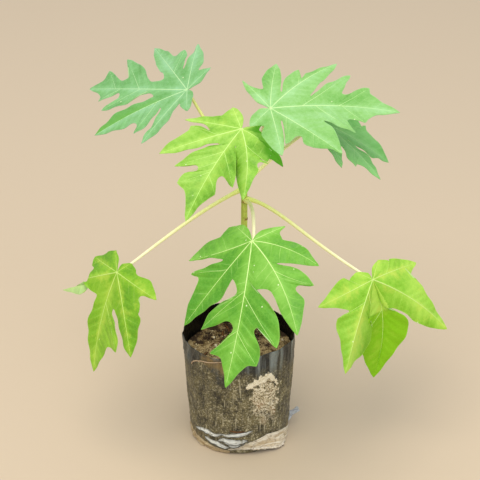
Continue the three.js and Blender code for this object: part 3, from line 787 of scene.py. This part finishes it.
leaves["centre"] = {
    "node": [2, -50, 363], "start": 304, "sag": -8, "side": None,
    "green": "#83ba3a", "deep": "#5c9a14", "pale": "#a6d35c", "shade": "#3a8200", "vein": "#caec8c",
    "yellow": 0.15, "specks": 0.2, "lines": 0.3,
    "tones": [0.2, 0.2, 0.3, -0.4, -0.5, [-0.5, -1.1], -2.0], "bows": [0, 0, 0, -3, 5, 4, 0],
    "darkFrom": {6: (0.2, 0.9, -0.8)}, "dusk": {5: (-1.7, 0.3, 0.65, 5)}, "veinEnds": {5: 0.5},
    "bends": {(4, -1): (30, 0.22, 0.5, 0)},
    "lobes": [
        [106, -17, 29, 27, [[10, 5], [22, 4]], []],
        [147, 6, 61, 29, [[30, 9], [42, 6]], [[36, 3], [44, 2]]],
        [183, 17, 76, 23, [[34, 17], [44, 24], [47, 17], [63, 12]], [[32, 6], [43, 6], [56, 5]]],
        [229, 40, 96, 18, [[30, 19], [45, 29], [58, 34], [50, 14], [59, 23], [70, 24], [73, 15]],
         [[35, 20], [55, 31], [50, 9], [66, 16], [71, 10]]],
        [271, 26, 77, 36, [[26, 9], [41, 11], [56, 8]], [[41, 23], [40, 14], [48, 14], [60, 8]]],
        [312, 18, 56, 20, [[38, 9], [44, 6.8], [43, 3.4], [48, 1.6]], [[25, 6.5], [36, 5.3], [46, 5.2]]],
        [353, -14, 18, 0, [[16, 5]], [[9, 0.6]]],
    ],
}
leaves["right_behind"] = {
    # its stalk's pale yellow, almost white colours are painted light, where the stalk lies in the shade of
    # the upper right leaf
    "node": [78, 62, 319], "start": 284, "sag": -6, "side": None, "stalk": ("#fffdc8", "#faf9ac"),
    "green": "#6cb357", "deep": "#579f46", "pale": "#86c474", "vein": "#a0cf84",
    "yellow": 0.0, "specks": 0.2, "lines": 0.2,
    "tones": [0, 0, 0.2, 0.2, 0.3, 0, 0], "bows": [0, 0, 0, 3, 3, 0, 0],
    "lobes": [
        [215, -12, 19, 17, [[8, 5]], []],
        [256, -1, 50, 24, [[28, 8]], [[34, 7]]],
        [284, 13, 72, 39, [[48, 7]], [[55, 6]]],
        [316, 25, 85, 32, [[45, 14], [53, 19], [65, 21], [62, 12], [70, 7]], [[34, 12], [58, 18], [71, 10]]],
        [360, 33, 82, 49, [[36, 10], [58, 17], [69, 8]], [[48, 27], [51, 20], [66, 17], [75, 9]]],
        [408, 3, 50, 24, [[47, 10]], [[30, 9]]],
        [443, -9, 28, 0, [], [[14, 5]]],
    ],
}
leaves["lower_left"] = {
    "node": [-115, -40, 210], "start": 277, "sag": -12, "ease": 1.5, "side": None,
    "green": "#78b018", "deep": "#5b980c", "pale": "#98c638", "vein": "#c3e07a",
    "yellow": 0.4, "specks": 0.5, "lines": 0.35,
    "tones": [-0.5, -0.7, 0, 0.3, -0.3, -0.2, -0.7], "bows": [0, 0, 0, -4, 2, 0, 0],
    "bends": {(2, -1): (170, 0.5, 0.64, 3), (2, 1): (170, 0.5, 0.64, 3)},
    "lobes": [
        [95, -22, 26, 33, [[12, 3]], []],
        [121, 9, 49, 38, [[34, 8]], [[44, 8]]],
        [143, 29, 82, 36, [[40, 7], [46, 4], [52, 9], [66, 5]], [[40, 12], [48, 5], [60, 1.5]]],
        [218, 72, 105, 35, [[50, 20], [65, 21], [71, 18], [85, 13]],
         [[37, 11], [46, 23], [57, 32], [67, 35], [70, 18], [75, 15]]],
        [284, 42, 83, 51, [[50, 9], [71, 7]], [[52, 21], [60, 17], [66, 14]]],
        [312, 3, 59, 23, [[44, 13], [40, 7], [54, 1.5]], [[20, 11], [41, 11]]],
        [360, -35, 17, 0, [], [[8, 5]]],
    ],
}
leaves["lower_right"] = {
    "node": [126, -40, 202], "start": 267, "sag": -32, "ease": 3.5, "side": None,
    "green": "#88c32e", "deep": "#70ae00", "pale": "#aedb50", "shade": "#88c600", "vein": "#cdea86",
    "yellow": 0.5, "specks": 1.2, "lines": 0.25,
    "tones": [0.3, 0, [-0.2, 0.8], -1.6, 0.3, 0.6, 0.6], "bows": [0, 0, -3, 11, 5, 1, 0],
    "darkFrom": {3: (0.32, 0.35, 1.2)}, "bends": {(3, -1): (32, 0.34, 0.6, 0)},
    "lobes": [
        [184, -28, 18, 25, [[7, 4]], []],
        [213, 8, 64, 40, [[28, 14], [39, 12], [50, 6]], [[46, 9]]],
        [245, 46, 93, 36, [[48, 26], [55, 24], [69, 14]], [[42, 30], [61, 28], [78, 12]]],
        [305, 85, 108, 37, [[44, 18], [57, 22], [80, 13]],
         [[39, 22], [45, 30], [54, 34], [63, 33], [86, 18]]],
        [371, 40, 103, 67, [[45, 11], [55, 11], [67, 12], [86, 8]], [[74, 18], [87, 10]]],
        [406, 9, 69, 32, [[57, 14], [53, 11], [59, 5]], [[32, 13], [48, 9]]],
        [433, -24, 23, 0, [], [[8, 4], [16, 3]]],
    ],
}

petiole = {
    "baseRadius": 2.0, "tipRadius": 1.35, "gap": 0.3, "sunk": 1.3, "cream": "#faf6cc", "green": "#e2ec86",
    "leafHalf": 0.9,  # half the solid leaf's thickness, where the solid stalk ends
}
blade = {
    "thick": 0.45, "arch": 0.02, "cup": 0.02, "pucker": 0.5, "wave": 0.8, "waveLength": 21,
    "step": 1.15, "ribStep": 1.5, "across": 12,  # the mesh's spacing along margin and midrib, and its rows
    "ribLean": 0.7, "full": 11, "toothTurn": 38,  # full: how far a tooth's edge bulges, in degrees
    "veinStep": 8.5, "mainVein": 0.7, "veinRise": 0.1,
    "toothVein": 0.24, "toothRise": 0.1, "toothLean": 0.95, "toothWide": 7.5,  # closer teeth have no vein
    "drapeWithin": 0.9, "drapeSpan": 7,
    "mottle": "#cddc56", "speck": "#e6efc4", "bloom": "#c4dba6",
}


def leafUp(leaf):  # the leaf's own up: the summed normals of the planes through neighbouring midribs
    dirs = [aim(row[0], row[1]) for row in leaf["lobes"]]
    return unit(sum(np.cross(a, b) for a, b in zip(dirs, dirs[1:])))


def lobeSide(leaf, index, step):
    # the plane and margin of one half lobe; step is -1 towards the lobe before and 1 towards the next
    rows = leaf["lobes"]
    heading, fall, length, notch, before, after = rows[index]
    other = rows[index + step] if 0 <= index + step < len(rows) else None
    mate = other or rows[index - step]
    along, toward, up = aim(heading, fall), aim(mate[0], mate[1]), leafUp(leaf)
    half = np.arccos(np.clip(along @ toward, -1, 1)) / 2 if other else 0
    across = unit(toward - (toward @ along) * along) * (1 if other else -1)
    web = (notch if step > 0 else other[3]) if other else 0
    corners = [[0, 0]] + ([[web * np.cos(half), web * np.sin(half)]] if other else [])
    corners += (after if step > 0 else before) + [[length, 0]]
    tones = [[tone, tone] if np.ndim(tone) == 0 else tone for tone in leaf["tones"]]
    tone, dark = tones[index][step > 0], leaf.get("darkFrom", {}).get(index)
    return {"node": np.array(leaf["node"], float), "along": along, "across": across, "up": up, "half": half,
            "length": length, "there": (length + other[2]) / 2 if other else length, "web": web,
            "corners": np.array(corners, float), "seed": index * 2 + (step > 0), "tone": tone,
            "toneThere": (tone + tones[index + step][step < 0]) / 2 if other and not dark else tone,
            "toneFrom": dark or (0.02, 0.4, 0), "dusk": leaf.get("dusk", {}).get(index, (0, 0, 1, 1)),
            "bow": leaf["bows"][index] * unit(np.cross(up, along)), "step": step,
            "bend": leaf.get("bends", {}).get((index, step), (0, 0, 1, 0))}


def webShare(side, x, y):  # the angle off the midrib, as a share of the angle to the web between two lobes
    return np.clip(np.arctan2(y, np.maximum(x, 1e-6)) / side["half"], 0, 1) if side["half"] else 0 * x


def topNormal(side):  # the normal of a half lobe's plane on the leaf's upper face
    normal = unit(np.cross(side["along"], side["across"]))
    return normal if normal @ side["up"] > 0 else -normal


def onBlade(side, x, y, start, v, edge=0.0):
    # a place on the leaf: the half lobe's plane, a low arch from node to tip, a rise towards the web between
    # lobes, soft pillows spaced like the side veins, a wave along the free margin, a fold and a bow
    reach, share = np.hypot(x, y), webShare(side, x, y)
    full = between((side["length"], side["there"]), share)
    s = np.clip(reach / full, 0, 1)
    lift = blade["arch"] * full * 4 * s * (1 - s) + blade["cup"] * reach * share ** 2
    pillow = np.abs(np.sin(np.pi * start / blade["veinStep"])) * 4 * v * (1 - v)
    lift = lift + blade["pucker"] * (pillow - 0.4 * 4 * v * (1 - v))
    free = smooth(0, 14, edge) * v ** 2 * smooth(1.0, 0.86, s)
    lift = lift + blade["wave"] * np.sin(2 * np.pi * edge / blade["waveLength"] + side["seed"]) * free
    degrees, first, last, axis = side["bend"]
    turn = np.radians(degrees) * smooth(first, last, x / side["length"])[..., None]
    axis = axis * side["step"]
    folded = side["across"] * np.cos(turn) + np.cross(side["along"], side["across"]) * np.sin(turn)
    bow = 4 * start / side["length"] * (1 - start / side["length"]) * (1 - v) ** 2
    flat = x[..., None] * side["along"] + axis * side["across"] + (y[..., None] - axis) * folded
    return (side["node"] + flat + lift[..., None] * side["up"] + bow[..., None] * side["bow"])


def turned(ways, degrees):  # directions in the plane, turned anticlockwise
    c, k = np.cos(np.radians(degrees)), np.sin(np.radians(degrees))
    return ways @ np.array([[c, k], [-k, c]])


def toothTurns(p):  # the turn in degrees at each inner point of a margin, below zero where it stands out
    way = unit(np.diff(p, axis=0))
    before, after = way[:-1], way[1:]
    sine, cosine = before[:, 0] * after[:, 1] - before[:, 1] * after[:, 0], (before * after).sum(1)
    return np.degrees(np.arctan2(sine, cosine))


def freeMargin(side):
    # the free margin as a curve through its turning points, a cubic Hermite piece between each two: one
    # tangent through hollows and soft bends, a full edge and a point at each tooth, a round web at its foot
    p = side["corners"][1:] if side["web"] else side["corners"]
    way, span = unit(np.diff(p, axis=0)), np.linalg.norm(np.diff(p, axis=0), axis=1)
    leave, arrive = turned(way, blade["full"]), turned(way, -blade["full"])
    soft = toothTurns(p) > -blade["toothTurn"]
    through = unit(way[:-1] + way[1:])
    arrive[:-1][soft] = through[soft]
    leave[1:][soft] = through[soft]
    reach = span.copy()
    if side["web"]:
        leave[0] = [np.sin(side["half"]), -np.cos(side["half"])]
        reach[0] = min(span[0], 5)
    t = np.linspace(0, 1, 33)[:, None]
    pieces = []
    for k in range(len(span)):
        curve = ((2 * t ** 3 - 3 * t ** 2 + 1) * p[k] + (t ** 3 - 2 * t ** 2 + t) * reach[k] * leave[k]
                 + (3 * t ** 2 - 2 * t ** 3) * p[k + 1] + (t ** 3 - t ** 2) * span[k] * arrive[k])
        run = runAlong(curve)
        at = np.linspace(0, run[-1], int(np.ceil(run[-1] / blade["step"])) + 1)[:-1]
        pieces.append(placed(np.interp(at, run, curve[:, 0]), np.interp(at, run, curve[:, 1])))
    return np.concatenate(pieces + [p[-1:]])


def halfLobe(side):
    # ribs run from evenly spaced points of the midrib to the margin, so both halves of a lobe share them
    free = freeMargin(side)
    inner = np.linspace(0, 1, int(np.ceil(side["web"] / blade["step"])) + 1)[:-1, None] * side["corners"][1]
    inner = inner if side["web"] else inner[:0]
    margin = np.concatenate([inner, free])
    edge = np.concatenate([np.zeros(len(inner)), runAlong(free)])[:, None]
    margin[:, 1] = np.maximum(margin[:, 1], 0)
    start = np.clip(margin[:, 0] - blade["ribLean"] * margin[:, 1], 0, side["length"])
    start = np.round(np.maximum.accumulate(start) / blade["ribStep"]) * blade["ribStep"]
    start = np.minimum(start, side["length"])
    start[-1] = side["length"]
    v = np.linspace(0, 1, blade["across"] + 1)[None, :]
    x = start[:, None] + (margin[:, :1] - start[:, None]) * v
    y = margin[:, 1:] * v
    points = onBlade(side, x, y, start[:, None], v, edge)
    s = np.hypot(x, y) / side["length"]
    # the tone is painted light and shade: a tone near the node giving way to the half lobe's own, blended
    # towards its neighbour's, and a painted shadow strip along the midrib
    first, last, near = side["toneFrom"]
    own = between((side["tone"], side["toneThere"]), webShare(side, x, y))
    far = smooth(first, last, s)
    tone = near * (1 - far) + own * far
    depth, first, last, breadth = side["dusk"]
    tone = tone + depth * smooth(first, last, x / side["length"]) * np.exp(-(y / breadth) ** 2)
    rim = v * (0.9 + 0.1 * smooth(0, 3, edge))
    springs = start[:, None] / blade["veinStep"] + 31 * side["seed"]
    return points, {"rib": placed(springs, y / 10), "lobe": placed(s, rim)}, {"tone": tone}


def draped(side, path, points):
    # a path laid on the highest part of the blade close to it, so that no wave of the blade hides it
    normal = topNormal(side)
    axes = np.stack([side["along"], side["across"], normal], -1)
    own, mesh = (path - side["node"]) @ axes, ((points - side["node"]) @ axes).reshape(-1, 3)
    away = np.linalg.norm(own[:, None, :2] - mesh[None, :, :2], axis=2)
    rise = mesh[None, :, 2] - own[:, None, 2]
    lift = np.where((away < blade["drapeWithin"]) & (np.abs(rise) < 1), rise, -9).max(axis=1)
    lift = np.pad(np.where(lift < -1, 0, lift), blade["drapeSpan"] // 2, mode="edge")
    lift = np.convolve(lift, np.ones(blade["drapeSpan"]) / blade["drapeSpan"], "valid")
    return path + lift[:, None] * normal


def veinSheet(side, path, thin, rise):  # a tube along a path, stretched until it stands out on both faces
    normal = topNormal(side)
    grid, uv = tube(path, thin, 8, over=normal)
    path, thin = (np.concatenate([part[:1], part, part[-1:]]) for part in (path, thin))
    above = ((grid - path[:, None]) @ normal)[..., None] * normal
    high = blade["thick"] / 2 + rise + 0.35 * thin
    return sheet(grid + above * (high / thin - 1)[:, None, None], uv={"rib": uv})


def veinsOf(leaf):
    # one raised vein down each lobe and one from the midrib to each broad tooth, thinning all the way
    made = []
    for index in range(len(leaf["lobes"])):
        for step in (-1, 1):
            side = lobeSide(leaf, index, step)
            if step > 0:
                x = np.linspace(0, side["length"] * leaf.get("veinEnds", {}).get(index, 0.97), 60)
                thin = blade["mainVein"] * (0.35 + 0.65 * side["length"] / 120) * (1 - 0.825 * x / x[-1])
                made.append(veinSheet(side, onBlade(side, x, 0 * x, x, 0 * x), thin, blade["veinRise"]))
            c, free, points = side["corners"], freeMargin(side), halfLobe(side)[0]
            for k in range(2 if side["web"] else 1, len(c) - 1):
                if c[k][1] >= blade["toothWide"] and toothTurns(c)[k - 1] < -blade["toothTurn"]:
                    spring = max(0, c[k][0] - blade["toothLean"] * c[k][1])
                    v = np.linspace(0, 0.93, 40)
                    x = spring + (c[k][0] - spring) * v
                    edge = runAlong(free)[np.argmin(np.linalg.norm(free - c[k], axis=1))]
                    path = draped(side, onBlade(side, x, c[k][1] * v, spring + 0 * v, v, edge), points)
                    thin = blade["toothVein"] * (0.5 + c[k][1] / 60) * (1 - 0.8 * v)
                    made.append(veinSheet(side, path, thin, blade["toothRise"]))
    return made


def buildLeafMaterial(name, leaf, under):
    # Papaya leaf: thin soft green skin with a faint waxy gloss above and a paler matt one below. Side veins
    # 8.5 mm apart are fine pale lines with a lighter band beside them, a net of cells lies between them, the
    # rim is a thin pale line, and old leaves have a yellow mottle, most near the midribs. Each lobe's tone
    # is painted light and shade, and the darkest tones, painted shadow, take the leaf's shade colour where
    # it has one, and a duller gloss.
    made, add = newMaterial(name)
    place = add("TexCoord").outputs["Object"]
    rib, lobe = (add("SeparateXYZ", {0: add("UVMap", uv_map=layer)}).outputs for layer in ("rib", "lobe"))
    tone = add("Attribute", attribute_name="tone").outputs["Fac"]
    cloud = add("TexNoise", {"Vector": place, "Scale": 34, "Detail": 3, "Roughness": 0.55})  # 30 mm
    grain = add("TexNoise", {"Vector": place, "Scale": 420, "Detail": 4, "Roughness": 0.65})  # 2.4 mm
    shake = add("TexNoise", {"Vector": place, "Scale": 60, "Detail": 1})  # 17 mm
    # side veins: one a unit of rib X, a little shaken, each of its own strength, fading towards the margin
    turns = add("Math", {0: shake, 1: 0.5, 2: rib["X"]}, operation="MULTIPLY_ADD")
    chance = add("TexWhiteNoise", {"W": add("Math", {0: turns}, operation="FLOOR")}, noise_dimensions="1D")
    wave = add("Math", {0: add("Math", {0: turns}, operation="FRACT"), 1: 0.5}, operation="SUBTRACT")
    wave = add("Math", {0: wave}, operation="ABSOLUTE")
    line = add("MapRange", {"Value": wave, 1: 0.012, 2: 0.045, 3: leaf["lines"], 4: 0.0})
    fade = add("MapRange", {"Value": lobe["Y"], 1: 0.45, 2: 0.95, 3: 1.0, 4: 0.1})
    strong = add("MapRange", {"Value": chance, 1: 0.1, 2: 1.0, 3: 0.05, 4: 0.8})
    near = add("MapRange", {"Value": lobe["X"], 1: 0.1, 2: 0.25})
    for part in (fade, strong, near):
        line = add("Math", {0: line, 1: part}, operation="MULTIPLY")
    # level of green: the lobe's tone, which is painted light and shade, and slow clouds, darker between
    # veins, lighter at the midrib, grainy
    band = add("MapRange", {"Value": wave, 2: 0.5, 3: 0.02, 4: -0.03})
    halo = add("MapRange", {"Value": rib["Y"], 1: 0.05, 2: 0.6, 3: 0.22, 4: 0.0})
    fine = add("MapRange", {"Value": grain, 1: 0.3, 2: 0.7, 3: -0.09, 4: 0.09})
    level = add("Math", {0: tone, 1: 0.3, 2: cloud}, operation="MULTIPLY_ADD")
    for part in (band, halo, fine):
        level = add("Math", {0: level, 1: part}, operation="ADD")
    low = add("MapRange", {"Value": level, 1: 0.22, 2: 0.5})
    high = add("MapRange", {"Value": level, 1: 0.5, 2: 0.84})
    layers = [(low, leaf["green"]), (high, leaf["pale"])]
    if leaf["yellow"]:
        close = add("MapRange", {"Value": lobe["Y"], 2: 0.7, 3: 0.1, 4: -0.03})
        mottle = add("TexNoise", {"Vector": place, "Scale": 75, "Detail": 5, "Roughness": 0.7})  # 13 mm
        spot = add("Math", {0: mottle, 1: close}, operation="ADD")
        spot = add("MapRange", {"Value": spot, 1: 0.54, 2: 0.72, 4: leaf["yellow"]})
        layers.append((spot, blade["mottle"]))
    net = add("TexVoronoi", {"Vector": place, "Scale": 330}, feature="DISTANCE_TO_EDGE")  # 3 mm
    net = add("MapRange", {"Value": net, 2: 0.1, 3: 0.2, 4: 0.0})
    rim = add("MapRange", {"Value": lobe["Y"], 1: 0.965, 2: 0.985, 4: 0.5})
    pale = add("Math", {0: net, 1: rim}, operation="MAXIMUM")
    layers += [(pale, leaf["pale"]), (line, leaf["vein"])]
    # painted shadow: the darkest tones, where a lobe lies in shadow, turn to the shade colour and lose gloss
    dark = add("MapRange", {"Value": tone, 1: -0.9, 2: -1.9, 4: 0.85})
    if "shade" in leaf:
        layers.append((dark, leaf["shade"]))
    # rare pale dots, where insects have pricked the leaf
    dots = add("TexVoronoi", {"Vector": place, "Scale": 150})  # a dot under 2 mm in a few of the 7 mm cells
    pick = add("SeparateXYZ", {0: dots.outputs["Color"]})
    rare = add("Math", {0: pick, 1: 1 - 0.1 * leaf["specks"]}, operation="GREATER_THAN")
    dot = add("MapRange", {"Value": dots, 1: 0.06, 2: 0.13, 3: 0.85, 4: 0.0})
    dot = add("Math", {0: dot, 1: rare}, operation="MULTIPLY")
    layers.append((dot, blade["speck"]))
    if under:
        layers.append((0.55, blade["bloom"]))
    colour = leaf["deep"]
    for share, over in layers:
        colour = add("Mix", {"Factor": share, 6: colour, 7: over}, data_type="RGBA")
    rough = add("MapRange", {"Value": dark, 2: 0.85, 3: 0.72 if under else 0.5, 4: 0.9})
    relief = add("Math", {0: line, 1: 1.0 if under else -1.0}, operation="MULTIPLY")
    relief = add("Math", {0: grain, 1: 0.6, 2: relief}, operation="MULTIPLY_ADD")
    bump = add("Bump", {"Height": relief, "Strength": 0.45, "Distance": 0.0004})
    skin = add("BsdfPrincipled", {"Base Color": colour, "Roughness": rough, "IOR": 1.42, "Normal": bump})
    add("OutputMaterial", {"Surface": skin})
    return made


def buildVeinMaterial(name, colours, mark=None):
    # Papaya vein and stalk flesh: pale, full of sap, a little glossy, finely streaked. A stalk carries a
    # mark that runs from 0 at the stem to 1 at the leaf, and goes from the second colour to the first.
    made, add = newMaterial(name)
    place = add("TexCoord").outputs["Object"]
    streak = add("TexNoise", {"Vector": place, "Scale": 350, "Detail": 3})  # 3 mm
    blend = add("MapRange", {"Value": streak, 1: 0.35, 2: 0.65})
    if mark:
        along = add("Attribute", attribute_name=mark).outputs["Fac"]
        level = add("Math", {0: blend, 1: 0.25, 2: along}, operation="MULTIPLY_ADD")
        blend = add("MapRange", {"Value": level, 1: 0.2, 3: 1.0, 4: 0.0})
    mixed = add("Mix", {"Factor": blend, 6: colours[0], 7: colours[1]}, data_type="RGBA")
    skin = add("BsdfPrincipled", {"Base Color": mixed, "Roughness": 0.45, "IOR": 1.42})
    add("OutputMaterial", {"Surface": skin})
    return made


def buildLeaf(name, leaf):  # the blade, two half lobes at a time, and its veins
    sheets = []
    for index in range(len(leaf["lobes"])):
        for step in (-1, 1):
            points, uv, marks = halfLobe(lobeSide(leaf, index, step))
            sheets.append(sheet(points, uv=uv, flip=step < 0, marks=marks))
    skins = [buildLeafMaterial("papaya leaf %s, %s" % (face, name), leaf, under)
             for face, under in (("top", False), ("underside", True))]
    makePiece("blade_" + name, sheets, skins, ["leaf_" + name], thick=blade["thick"], backSlot=1)
    flesh = buildVeinMaterial("leaf vein flesh, " + name, (leaf["vein"], leaf["vein"]))
    makePiece("veins_" + name, veinsOf(leaf), [flesh], sharp=0)


def buildStalk(name, leaf):
    # from the stem's skin to just under the node along an arch, swollen at both ends and grooved on top
    path = spline(stem["path"], 400)
    at = int(np.argmin(np.abs(path[:, 2] - leaf["start"])))
    centre, radius = path[at], float(stemRadius(at / (len(path) - 1)))
    node, up = np.array(leaf["node"], float), leafUp(leaf)
    slant = np.linalg.norm(np.cross(unit(node - centre), up))
    tip = node - up * (petiole["leafHalf"] + petiole["gap"] + petiole["tipRadius"] * slant)
    out = unit((tip - centre) * np.array([1, 1, 0])) if leaf["side"] is None else aim(leaf["side"], 0)
    start = centre + out * (radius + petiole["gap"])
    t = np.linspace(0, 1, 90)[:, None]
    arch = 2 * t * (1 - t) ** leaf.get("ease", 1) * np.array([leaf.get("swing", 0), 0, -leaf["sag"]])
    path = start + (tip - start) * t + arch
    path[0] -= out * petiole["sunk"]
    path = np.concatenate([path, [node - up * 0.1]])
    t = np.linspace(0, 1, len(path))
    size = between((petiole["baseRadius"], petiole["tipRadius"]), t) + 0.9 * np.maximum(0, 1 - t * 9) ** 2
    size = size * (1 - 0.12 * smooth(0.97, 1, t)) + 0.25 * np.exp(-((t - 0.965) / 0.02) ** 2)
    angle = np.linspace(0, 2 * np.pi, 17)
    groove = 1 - 0.1 * np.exp(-((angle - np.pi / 2) / 0.5) ** 2) + 0.012 * np.sin(7 * angle)
    grid, uv = tube(path, size, 16, profile=groove)
    stalk = sheet(grid, uv={"rib": uv}, marks={"along": np.linspace(0, 1, len(grid))[:, None]})
    colours = leaf.get("stalk", (petiole["cream"], petiole["green"]))
    flesh = buildVeinMaterial("leaf stalk flesh, " + name, colours, "along")
    makePiece("stalk_" + name, [stalk], [flesh], ["petiole_" + name], sharp=0)


print("leaves")
for leafName, leafEntry in leaves.items():
    buildLeaf(leafName, leafEntry)
    buildStalk(leafName, leafEntry)


# floor, light and camera

studio = {
    "floor": "#cab9a1", "floorHalf": 20, "sky": "#eef1f5", "skyStrength": 0.82,  # places here are in metres
    "lampsAim": (0, 0, 0.2),
    "lamps": {"key": ((-0.6, -1.3, 3.3), 2.4, 88, "#fff4e2"),  # place, size, watts, colour
              "fill": ((1.5, -1.9, 2.0), 2.0, 16, "#eef4ff")},
    "cameraPlace": (0.0007, -1.105, 0.855), "cameraPitch": 60.2, "lens": 99.2, "sensor": 36,
}


def buildStudio():  # a plain floor, a soft sky, two square lamps and a camera that looks as the photo does
    made, add = newMaterial("plain pale floor")
    paint = add("BsdfPrincipled", {"Base Color": studio["floor"], "Roughness": 0.9})
    add("OutputMaterial", {"Surface": paint})
    mesh = bpy.data.meshes.new("floor")
    half = studio["floorHalf"]
    corners = [(-half, -half, 0), (half, -half, 0), (half, half, 0), (-half, half, 0)]
    mesh.from_pydata(corners, [], [(0, 1, 2, 3)])
    floor = bpy.data.objects.new("floor", mesh)
    bpy.context.scene.collection.objects.link(floor)
    mesh.materials.append(made)
    world = bpy.data.worlds.new("soft sky")
    bpy.context.scene.world = world
    world.use_nodes = True
    world.node_tree.nodes["Background"].inputs[0].default_value = linear(studio["sky"])
    world.node_tree.nodes["Background"].inputs[1].default_value = studio["skyStrength"]
    for name, (place, size, power, colour) in studio["lamps"].items():
        lamp = bpy.data.objects.new(name, bpy.data.lights.new(name, "AREA"))
        lamp.data.size, lamp.data.energy, lamp.data.color = size, power, linear(colour)[:3]
        lamp.location = place
        toward = Vector(studio["lampsAim"]) - Vector(place)
        lamp.rotation_euler = toward.to_track_quat("-Z", "Y").to_euler()
        bpy.context.scene.collection.objects.link(lamp)
    camera = bpy.data.objects.new("camera", bpy.data.cameras.new("camera"))
    camera.data.sensor_width, camera.data.lens = studio["sensor"], studio["lens"]
    camera.location = studio["cameraPlace"]
    camera.rotation_euler = (np.radians(studio["cameraPitch"]), 0, 0)
    bpy.context.scene.collection.objects.link(camera)
    bpy.context.scene.camera = camera
    bpy.context.scene.view_settings.view_transform = "Standard"


print("studio")
buildStudio()
